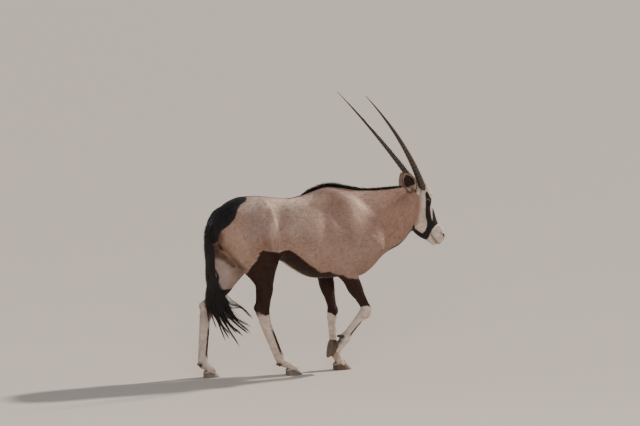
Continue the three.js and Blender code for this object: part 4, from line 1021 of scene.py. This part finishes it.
# Mane: short stiff hair on the crest, from the withers to the poll
count = 2100
mx = rng.uniform(-100, 566, count)
my = rng.normal(0, 1, count) * (5 + 4 * smooth(-80, 20, mx) - 3 * smooth(220, 330, mx))
my = np.clip(my, -15, 15)
roots = np.stack([mx, my, BACK(mx) - 7 - 0.012 * my * my], 1)
rise = rng.uniform(0.26, 0.52, count) * (1 - 0.35 * np.abs(my) / 15)
slope = (BACK(mx + 12) - BACK(mx - 12)) / 24
sideways = 0.012 * my + 0.05 * rng.normal(size=count)
d = unit(np.stack([-np.cos(rise), sideways, np.sin(rise) - slope * 0.9], 1))
length = rng.uniform(44, 66, count) * (0.9 + 0.42 * smooth(60, 190, mx) - 0.5 * smooth(230, 330, mx))
length = length * (0.55 + 0.45 * smooth(-100, -30, mx)) * (0.72 + 0.28 * smooth(566, 500, mx))
far, up = d * length[:, None], at(0, 0, 1)
droop = up * length[:, None] * 0.035
path = np.stack([roots, roots + far * 0.35, roots + far * 0.7 - up * 0.6, roots + far - droop], 1)
hair("mane", path, np.cross(up, d), 5.2, 1.6, roots, 26, AWAY)


def grain(ob, xyz, ridge):
    colour(ob, "grain", np.column_stack([xyz, ridge]))


def ring_tube(c, radii, n, tall=1.0, wide=1.0):
    """Rings of n points square to a path."""
    tan = unit(np.gradient(c, axis=0))
    side = unit(at(0, 1, 0) - tan * tan[:, 1:2])
    up = np.cross(tan, side)
    a = np.linspace(0, math.tau, n, endpoint=False)
    r = radii[:, None] if radii.ndim == 1 else radii
    x, y = (np.cos(a) * r * wide)[..., None], (np.sin(a) * r * tall)[..., None]
    return c[:, None] + side[:, None] * x + up[:, None] * y


# Horns: long, nearly straight, ringed over the lower half and smooth to the tip
HORN = dict(length=825, root=26.5, tip=1.6, rings=17, ringed=0.56, x=687, z=1115, round=48)


def horn_line(side, s):
    n = 24
    t = (s[:, None] / 1000) * (np.arange(n) + 0.5) / n
    out = 0.476 - 0.51 * t
    step = np.sqrt(1 - out * out) * s[:, None] / n
    x = HORN["x"] - (np.sin(0.506 + 0.32 * t) * step).sum(1)
    z = HORN["z"] + (np.cos(0.506 + 0.32 * t) * step).sum(1)
    m = s / 1000
    return np.stack([x, side * (34 + (0.476 * m - 0.255 * m * m) * 1000), z], 1)


def horn(side, name):
    L, n = HORN["length"], HORN["round"]
    ringed = HORN["ringed"] * L
    s = np.concatenate([np.linspace(-26, L * 0.6, 300), np.linspace(L * 0.6, L * 0.999, 60)[1:]])
    line, s = horn_line(side, s), s[:, None]
    r = HORN["tip"] + (HORN["root"] - HORN["tip"]) * (1 - np.maximum(s, 0) / L) ** 0.95
    k = s * HORN["rings"] / ringed
    a = np.linspace(0, math.tau, n, endpoint=False)
    phase = k + 0.12 * np.sin(a) + 0.05 * np.sin(2 * a + k * 1.7)
    saw = phase - np.floor(phase)
    ridge = smooth(0.08, 0.58, saw) * smooth(1.0, 0.72, saw)
    fade = smooth(-10, 20, s) * (1 - smooth(ringed * 0.82, ringed * 1.04, s))
    high = 3.4 * (1 - 0.55 * np.clip(s / ringed, 0, 1))
    flute = 0.35 * np.sin(a * 9 + 0.8 * np.sin(a * 2)) * smooth(1.0, 0.2, s / L)
    rad = r * 0.985 + (ridge - 0.55) * high * fade * 0.8 + flute
    v, f = lathe(ring_tube(line, rad, n, 0.92, 1.04))
    ob = make(name, metres(v), f, HORN_MAT, [name])
    g = np.stack([np.cos(a) * r, np.sin(a) * r, s + 0 * a], -1) / 1000
    grain(ob, on_rings(v, g), on_rings(v, ridge * fade * 0.45))


# Ears: round cups with a pale fringe, dark inside where painted shade lies over the ear's own dark opening
EAR = dict(length=166, wide=43, thick=3.4, rows=44, across=26, fringe=520, hairs=1500)
EARS = {
    RIGHT: (at(601, -68, 1125), at(-0.5, -0.6, 0.62), at(0.06, -0.46, -0.39)),
    LEFT: (at(600, 76, 1120), at(0.33, 0.84, 0.45), at(0.7, 0.1, -0.6))}
EAR_WIDE = curve([
    [-0.08, 0.42], [0.06, 0.5], [0.2, 0.74], [0.36, 0.94], [0.52, 1], [0.68, 0.9], [0.82, 0.66], [0.92, 0.4],
    [0.985, 0.14]])
EAR_CURL = curve([
    [-0.08, 2.5], [0.06, 2.3], [0.2, 1.75], [0.36, 1.35], [0.52, 1.12], [0.68, 1.0], [0.82, 0.9], [0.92, 0.8],
    [0.985, 0.7]])


def ear(side, name):
    root, axis, open_to = EARS[side]
    up = unit(axis)
    face = unit(open_to - up * (open_to @ up))
    across = np.cross(up, face)
    n = EAR["across"]
    t = np.linspace(-0.08, 0.985, EAR["rows"])[:, None]
    k = np.linspace(-1, 1, n)[None]
    curl = EAR_CURL(t)
    radius = EAR["wide"] * EAR_WIDE(t) / np.sin(np.minimum(curl, math.pi / 2))
    rim = (1 - k**6) * 0.35 + 0.65

    def sheet(r, a):
        base = (root + up * t * EAR["length"] + face * (radius * 0.5 - 10 - 16 * t))[:, None]
        return base + across * (r * np.sin(a))[..., None] + face * (-r * np.cos(a) + radius * 0.35)[..., None]

    ripple = 0.5 * np.sin(9 * k + 14 * t) * (1 - k * k)
    outer = sheet(radius - 0.4, curl * k)
    inner = sheet(np.maximum(radius - EAR["thick"] * rim, radius * 0.6) + ripple, 0.985 * curl * k)
    v, f = lathe(np.concatenate([outer, inner[:, ::-1]], 1))
    ob = make(name, metres(v), f, COAT_MAT, [name])
    edge, shut = 1 - np.abs(k), smooth(0.985, 0.80, t)
    wob = 0.05 * np.sin(23 * t + 3 * k)
    # painted shade fills the middle of the cup, over the ear's dark opening; a thin dark rim runs along the
    # edge
    inner_shade_and_rim = np.maximum((1 - np.hypot(k / 0.8, (t - 0.50) / 0.34) + wob) * 40, (0.055 - edge) * 160)
    out_dark = np.maximum((0.075 - edge) * 120, (t - 0.90) * 120)
    in_pale = mix(-14, -2 - np.abs(edge - 0.22) * 40 + 16 * smooth(0.34, 0.10, t), shut)
    dark = on_rings(v, np.concatenate([out_dark, inner_shade_and_rim[:, ::-1]], 1), AWAY)
    pale = on_rings(v, np.concatenate([0 * out_dark + AWAY, in_pale[:, ::-1]], 1), AWAY)
    colour(ob, "tint", np.ones((len(v), 4)) * np.array([0.33, 0.225, 0.168, 0.4]))
    colour(ob, "mark", np.column_stack([code(dark), code(pale), 0 * dark, 0 * dark + 0.5]))

    def spots(base, u):
        return unwrap(base) * 0.02 + np.array([u - 0.04 * (side > 0), 0.57])

    # fringe along the rim and short hair on the back
    m = EAR["fringe"]
    i, j = rng.integers(6, EAR["rows"] - 2, m), rng.choice([0, n - 1], m)
    base = inner[i, j]
    into = unit(inner[i, n // 2] - base)
    fringe = unit(into * 0.55 + up * 0.75 + face * 0.25 + 0.18 * rng.normal(size=(m, 3)))
    far = rng.uniform(8, 16, (m, 1)) * smooth(0.0, 0.3, t[i]) * smooth(1.05, 0.7, t[i])
    path = np.stack([base, base + fringe * far * 0.5, base + unit(fringe + up * 0.5) * far], 1)
    hair(name + "_fringe", path, face, 1.8, 0.6, base, -30, rng.uniform(-14, 10, m), spots(base, 0.97))
    m = EAR["hairs"]
    i, j = rng.integers(2, EAR["rows"] - 2, m), rng.integers(0, n, m)
    base = outer[i, j] + rng.normal(0, 1.2, (m, 3))
    nrm = unit(outer[i, j] - (outer[i, 0] + outer[i, n - 1]) / 2)
    d = unit(up - nrm * (nrm @ up)[:, None] + 0.15 * rng.normal(size=(m, 3)))
    path = np.stack([base - nrm * 0.8, base + d * 4 + nrm * 0.8, base + d * 8 + nrm * 1.2], 1)
    hair(name + "_coat", path, np.cross(nrm, d), 2.2, 0.6, base, out_dark[i, j] - 4, AWAY, spots(base, 0.93))


# Eyes: dark, with a level pupil, and lashes on the upper lid
EYE_WHITE, IRIS = at(0.10, 0.055, 0.035), at(0.045, 0.018, 0.008)
LASHES = 46


def eye(side, name):
    out, along, up = eye_frame(side)
    c = in_head(EYE[0], EYE[1], side * EYE[2])
    lat = np.linspace(0.02, math.pi - 0.02, 40)[:, None]
    lon = np.linspace(0, math.tau, 64, endpoint=False)
    ball = np.sin(lat) * np.cos(lon), np.sin(lat) * np.sin(lon), np.cos(lat) + 0 * lon
    a, b, o = (k[..., None] for k in ball)
    bulge = (EYE_R - 0.25) * (1 + 0.035 * np.exp(-((lat / 0.62) ** 2)))[..., None]
    v, f = lathe(c + bulge * (a * along + b * up * side + o * out))
    ob = make(name, metres(v), f, EYE_MAT, [name])
    r = np.arccos(np.clip(o, -1, 1))
    pupil = smooth(1.12, 0.88, np.sqrt((a / 0.42) ** 2 + (b / 0.25) ** 2))
    rim = np.exp(-(((r - 0.76) / 0.06) ** 2))
    tint = mix(EYE_WHITE, IRIS * (1 - 0.85 * rim), smooth(0.80, 0.72, r))
    tint = on_rings(v, mix(tint, 0.002, pupil), 0.01)
    colour(ob, "tint", np.column_stack([tint, np.full(len(v), 0.01)]))
    grain(ob, on_rings(v, np.stack([np.arctan2(b, a) * 1.4, r * 0.5, r * 0], -1)), np.ones(len(v)))
    k = LASHES
    t = np.linspace(-0.95, 0.9, k) + rng.normal(0, 0.01, k)
    lid = 9.6 * np.sqrt(1 - t * t * 0.9) + 0.4 - 0.03 * (t * 14.5) ** 2 * 0.6
    base = c + np.outer(t * 14.5, along) + np.outer(lid, up)
    base = base + np.outer(np.sqrt(np.maximum((EYE_R + 2.6) ** 2 - ((base - c) ** 2).sum(1), 4)), out)
    d = unit(out * 0.95 + up * 0.12 + np.outer(t * 0.35, along) + 0.07 * rng.normal(size=(k, 3)))
    far = d * rng.uniform(7, 11, (k, 1))
    path = np.stack([base - d * 1.5, base + far * 0.5 - up * 0.8, base + far - up * 0.2], 1)
    hair(name + "_lashes", path, along, 0.9, 0.5, base, 30, AWAY)


# Hooves and dewclaws
HOOF = dict(toe=66, heel=42, wide=33, front=54, back=34, fore_scale=1.12)
CORONET_HAIRS = 420


def hoof_plan(limb, c):
    """A hoof's scale, reach at the ground, lean to the rear and height, and its turn by the pitch."""
    scale = HOOF["fore_scale"] if "fore" in limb else 1.0
    reach = np.where(c > 0, HOOF["toe"] * np.abs(c) ** 1.15, -HOOF["heel"] * np.abs(c) ** 0.85) * scale
    lean = np.where(c > 0, 1, 0.35) * (0.4 + 0.6 * np.abs(c))
    th = math.radians(J[limb]["pitch"])
    turn = np.array([[math.cos(th), 0, -math.sin(th)], [0, 1, 0], [math.sin(th), 0, math.cos(th)]])
    high = HOOF["back"] + (HOOF["front"] - HOOF["back"]) * (c + 1) / 2
    return scale, reach, lean, high * scale, turn


def claw(limb, side, name):
    a = np.linspace(0, math.tau, 72, endpoint=False)
    c, s = np.cos(a), np.sin(a)
    scale, reach, lean, high, turn = hoof_plan(limb, c)
    h = np.linspace(0, 1, 22)[:, None]
    outer = np.where(s > 0, HOOF["wide"] * np.abs(s) ** 0.9, -3 * np.abs(s) ** 0.5)
    x = reach * (1 - 0.3 * h) - 34 * h * lean
    y = 4.6 + (outer * (1 - 0.16 * h) + np.where(s > 0, 0, 2 * h)) * scale
    growth = 0.35 * np.sin(h * 34 + c * 1.5) * smooth(0.02, 0.2, h) * smooth(1, 0.9, h)
    x, y = x * (1 + growth / 60), y + growth * 0.6 * (s > 0.1)
    tuck = 1 - 0.04 * smooth(0.06, 0.0, h)
    p = np.stack([x * tuck, y * side, h * high], -1)
    v, f = lathe(p @ turn + J[limb]["sole"])
    mat = FORE_HOOF_MAT if "fore" in limb else SUNLIT_HIND_HOOF_MAT
    ob = make(name, metres(v), f[:, ::-1] if side < 0 else f, mat, [name])
    edge = 0.5 * smooth(0.12, 0.0, h) + 0.25 * smooth(0.86, 1, h) + 0 * c
    grain(ob, on_rings(v, p / 1000), on_rings(v, edge))


def dewclaw(limb, side, name):
    j = J[limb]
    drop = unit(j["coronet"] - j["fetlock"])
    a = j["fetlock"] + j["back"] * 20 + at(0, side * 14, 0) + drop * 2
    b = a + j["back"] * 22 + at(0, side * 7, 0) + drop * 15
    s = np.linspace(-1, 1, 22)
    L = np.linalg.norm(b - a)
    root, tip, bend = 13, 7, 0.7  # radii, and where the tip's rounding starts
    pos = np.where(s > bend, bend * L + (s - bend) / 0.3 * (0.3 * L + 6.6), s * L)
    pos = np.where(s < 0, -root * np.sin(-s * 1.45), pos)
    cap = (root - 6 * bend) * np.sqrt(np.clip(1 - ((s - bend) / 0.305) ** 2, 0.003, 1))
    rad = np.where(s > bend, cap, root + (tip - root) * np.clip(s, 0, 1))
    rad = np.where(s < 0, root * np.cos(s * 1.45), rad) + 0.25 * np.sin(s * 40) * (s > 0) * (s < 0.9)
    v, f = lathe(ring_tube(a + np.outer(pos, unit(b - a)), rad, 28))
    ob = make(name, metres(v), f, DEW_MAT, [name])
    grain(ob, (v - a) / 1000, np.zeros(len(v)))


for side, word in ((RIGHT, "right"), (LEFT, "left")):
    horn(side, "horn_" + word)
    ear(side, "ear_" + word)
    eye(side, "eye_" + word)
for limb in J:
    for side, letter in ((RIGHT, "r"), (LEFT, "l")):
        claw(limb, side, f"{limb}_claw_{letter}")
        dewclaw(limb, side, f"{limb}_dewclaw_{letter}")

# Tail: a short-haired dock inside long black hair that sweeps forward at the tip
DOCK = np.array([
    (-690, 0, 985), (-724, 0, 952), (-736, 0, 900), (-735, 0, 800), (-733, 0, 700), (-724, 0, 620),
    (-704, 0, 560)], float)
dock = centripetal(DOCK[None], 60)[0]
DOCK_R = curve([[0, 26], [0.2, 22], [0.45, 17], [0.7, 17], [0.9, 14], [1, 6]])
v, f = lathe(ring_tube(dock, DOCK_R(np.linspace(0, 1, 60)), 24))
dock_ob = make("tail_dock", metres(v), f, TAIL_MAT, ["tail"])
grain(dock_ob, v / 1000, np.zeros(len(v)))
# End points of the wisps, x and z, fanned from the rear one to the topmost one
WISPS = np.array([
    (-744, 352), (-728, 372), (-699, 307), (-668, 342), (-635, 222), (-611, 234), (-588, 250), (-560, 264),
    (-537, 180), (-510, 246), (-482, 262), (-455, 262), (-464, 308), (-450, 356)], float)
WISP_SHARE = np.array([10, 8, 5, 5, 9, 8, 8, 7, 10, 9, 8, 9, 6, 6], float)
WISP_SHARE /= WISP_SHARE.sum()
INNER = curve([[0, -752], [0.3, -728], [0.6, -690], [1, -622]])
INNER_Z = curve([[0, 486], [0.3, 462], [0.6, 446], [1, 462]])


def dock_hair(count, at_t, i, ring, root):
    """Short hair that lies along the dock."""
    down = unit(np.gradient(dock, axis=0))[i]
    far = down * (rng.uniform(0.6, 1.2, count) * (34 + 150 * smooth(0.1, 0.5, at_t)))[:, None]
    swell = ring * (2.5 + 6.5 * smooth(0.15, 0.6, at_t))[:, None]
    pts = np.stack([
        root, root + far * 0.33 + swell, root + far * 0.66 + swell * 1.1 + 2 * rng.normal(size=(count, 3)),
        root + far + swell * 0.6 + 3 * rng.normal(size=(count, 3))], 1)
    pts[:, :, 0] += 30 * smooth(620, 520, pts[:, :, 2]) ** 2
    return centripetal(pts, 8), rng.uniform(2.6, 4.6, count)


def brush_hair(count, ang, ring, root):
    """Long hair that falls in a sheaf and then parts into the wisps."""
    wisp = rng.choice(len(WISPS), count, p=WISP_SHARE)
    share = wisp / (len(WISPS) - 1)
    loose = rng.random(count) < 0.13
    lay = rng.normal(0, 1, (count, 3))
    mid = [-722 + 22 * np.cos(ang) + 14 * (share - 0.4), 26 * np.sin(ang), rng.uniform(590, 660, count)]
    fall_z = INNER_Z(share) + 70 * rng.random(count) - 20
    fall = [INNER(share) + 5 * lay[:, 0], 20 * np.sin(ang) + 3 * lay[:, 1], fall_z]
    mid, fall = np.stack(mid, 1), np.stack(fall, 1)
    reach = np.where(loose, rng.uniform(0.45, 0.8, count), rng.uniform(0.86, 1.0, count))[:, None]
    lay = lay * np.stack([np.where(loose, *w) for w in ((8.0, 1.5), (5, 1.6), (8.0, 1.5))], 1)
    tip = np.stack([WISPS[wisp, 0], 26 * np.sin(wisp * 2.4), WISPS[wisp, 1]], 1) + lay
    tip = fall + (tip - fall) * reach
    bow = np.where(share > 0.95, 26, -18 * share) + 7 * np.sin(wisp * 1.9)
    start = np.stack([INNER(share), 8 * np.sin(wisp * 2.4), INNER_Z(share)], 1)
    gathered = mix(fall, start, np.where(loose, 0.25, 0.82)[:, None])
    sag = (gathered + tip) / 2 + np.stack([bow * 0.6, 0 * share, bow], 1) * reach
    sag = sag + np.where(loose, 4, 1.6)[:, None] * rng.normal(size=(count, 3))
    path = centripetal(np.stack([root, (root + mid) / 2 + ring * 4, mid, fall, sag, tip], 1), 18)
    wide = rng.uniform(1.4, 2.8, count)
    along = np.linspace(0, 1, 18)[None]
    wave = np.sin(along * rng.uniform(7, 13, (count, 1)) + ang[:, None]) * along**2
    return path + wave[..., None] * (2.4 * unit(rng.normal(size=(count, 3))))[:, None], wide


def strands(name, count, short):
    at_t = rng.uniform(0.02, 0.95, count) if short else rng.uniform(0.22, 0.98, count)
    i = (at_t * 59).astype(int)
    ang = rng.uniform(0, math.tau, count)
    ring = np.stack([np.cos(ang), np.sin(ang), 0 * ang], 1)
    root = dock[i] + ring * DOCK_R(at_t)[:, None] * 0.85
    path, wide = dock_hair(count, at_t, i, ring, root) if short else brush_hair(count, ang, ring, root)
    side = unit(np.cross(path[:, 1] - path[:, 0], ring) + 1e-6)
    v, f, per = locks(path, side, wide, wide * 0.35, 0.55)
    ob = make(name, metres(v), f, TAIL_MAT)
    levels = path.shape[1]
    k = np.concatenate([np.repeat(np.arange(levels - 1), 3), [levels - 1]]) / levels
    g = np.stack([np.repeat(rng.random(count), per), np.repeat(rng.random(count), per), np.tile(k, count)], 1)
    grain(ob, g, np.clip(np.repeat(rng.random(count) * 0.5, per) + np.tile(k * 0.35, count), 0, 1))
    bake_map(ob, np.stack([0.62 + 0.3 * at_t, 0.57 + 0.02 * (ang / 6.3)], 1), per)


THIN = 1
NEAR_HAIRS, LONG_HAIRS = 1700, 1500
strands("tail_hair_near", NEAR_HAIRS // THIN, True)
strands("tail_hair_long", LONG_HAIRS // THIN, False)

# Fringe of short hair over the top of each hoof
for limb in J:
    k = CORONET_HAIRS
    a = rng.uniform(0, math.tau, k)
    c, s = np.cos(a), np.sin(a)
    scale, reach, lean, high, turn = hoof_plan(limb, c)
    x = reach * 0.72 - 31 * lean
    y = np.where(s > 0, 1, -1) * (4 + HOOF["wide"] * np.abs(s) ** 0.9 * 0.82 * scale)
    p = np.stack([x * 0.94, y * 0.94, high * 0.97 + 4], 1)
    o = unit(np.stack([c, s, 0 * c], 1))
    d = unit(o * 0.42 + at(0, 0, -1) + at(0.35, 0, 0) * (c > 0)[:, None] + 0.12 * rng.normal(size=(k, 3)))
    far = d * rng.uniform(9, 16, (k, 1))
    path = np.stack([p, p + far * 0.5 + o * 1.5, p + far + o * 0.8], 1) @ turn + J[limb]["sole"]
    hair(limb + "_coronet_hair", path, np.cross(o, d) @ turn, 3.0, 0.8, path[:, 0], AWAY, 30)

# Floor, light and the photo's viewpoint
FLOOR_HALF = 400  # m
floor_me = bpy.data.meshes.new("floor")
corners = [(x * FLOOR_HALF, y * FLOOR_HALF, 0) for x, y in ((-1, -1), (1, -1), (1, 1), (-1, 1))]
floor_me.from_pydata(corners, [], [(0, 1, 2, 3)])
floor = bpy.data.objects.new("floor", floor_me)
bpy.context.scene.collection.objects.link(floor)
fm, _, fb = material("floor_pale", 0.85, Specular_IOR_Level=0.2)
fb.inputs["Base Color"].default_value = (0.60, 0.53, 0.47, 1)
floor_me.materials.append(fm)
floor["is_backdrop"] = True


def lamp(name, kind, place, energy, size, tint):
    l = bpy.data.lights.new(name, kind)
    l.energy = energy
    l.color = tint
    if kind == "AREA":
        l.shape, l.size = "DISK", size
    else:
        l.angle = size
    o = bpy.data.objects.new(name, l)
    aim = (Vector((0, 0, 0.9)) - Vector(place)).to_track_quat("-Z", "Y")
    o.matrix_world = Matrix.Translation(place) @ aim.to_matrix().to_4x4()
    bpy.context.scene.collection.objects.link(o)
    o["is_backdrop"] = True


lamp("sun", "SUN", (5.0, 0.9, 4.6), 4.4, 0.06, (1.0, 0.93, 0.84))
lamp("fill", "AREA", (-2.5, -7.0, 4.0), 200, 4.0, (1.0, 0.97, 0.94))
world = bpy.data.worlds.new("pale")
world.use_nodes = True
sky = world.node_tree.nodes["Background"].inputs
sky["Color"].default_value = (0.66, 0.68, 0.72, 1)
sky["Strength"].default_value = 0.5
bpy.context.scene.world = world

DISTANCE, LENS, SENSOR = 18, 161.48, 36  # m from the middle of the picture, and mm
AIM = Vector((-0.0181, 0, 1.00185))
az, el, roll = math.radians(-20), math.radians(6), math.radians(-0.768)
back = Vector((math.sin(az) * math.cos(el), -math.cos(az) * math.cos(el), math.sin(el)))
level = Vector((math.cos(az), math.sin(az), 0))
upward = back.cross(level)
right = level * math.cos(roll) + upward * math.sin(roll)
top = -level * math.sin(roll) + upward * math.cos(roll)
cam_data = bpy.data.cameras.new("camera")
cam_data.sensor_width, cam_data.lens, cam_data.clip_end = SENSOR, LENS, 2000
cam = bpy.data.objects.new("camera", cam_data)
stand = AIM + back * DISTANCE
cam.matrix_world = Matrix.Translation(stand) @ Matrix((right, top, back)).transposed().to_4x4()
bpy.context.scene.collection.objects.link(cam)
bpy.context.scene.camera = cam
cam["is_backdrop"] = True


def plain(b):
    return [plain(x) for x in b] if hasattr(b, "__len__") else float(b)


{"cad": plain(CAD_BOX), "visual": plain(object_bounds())}
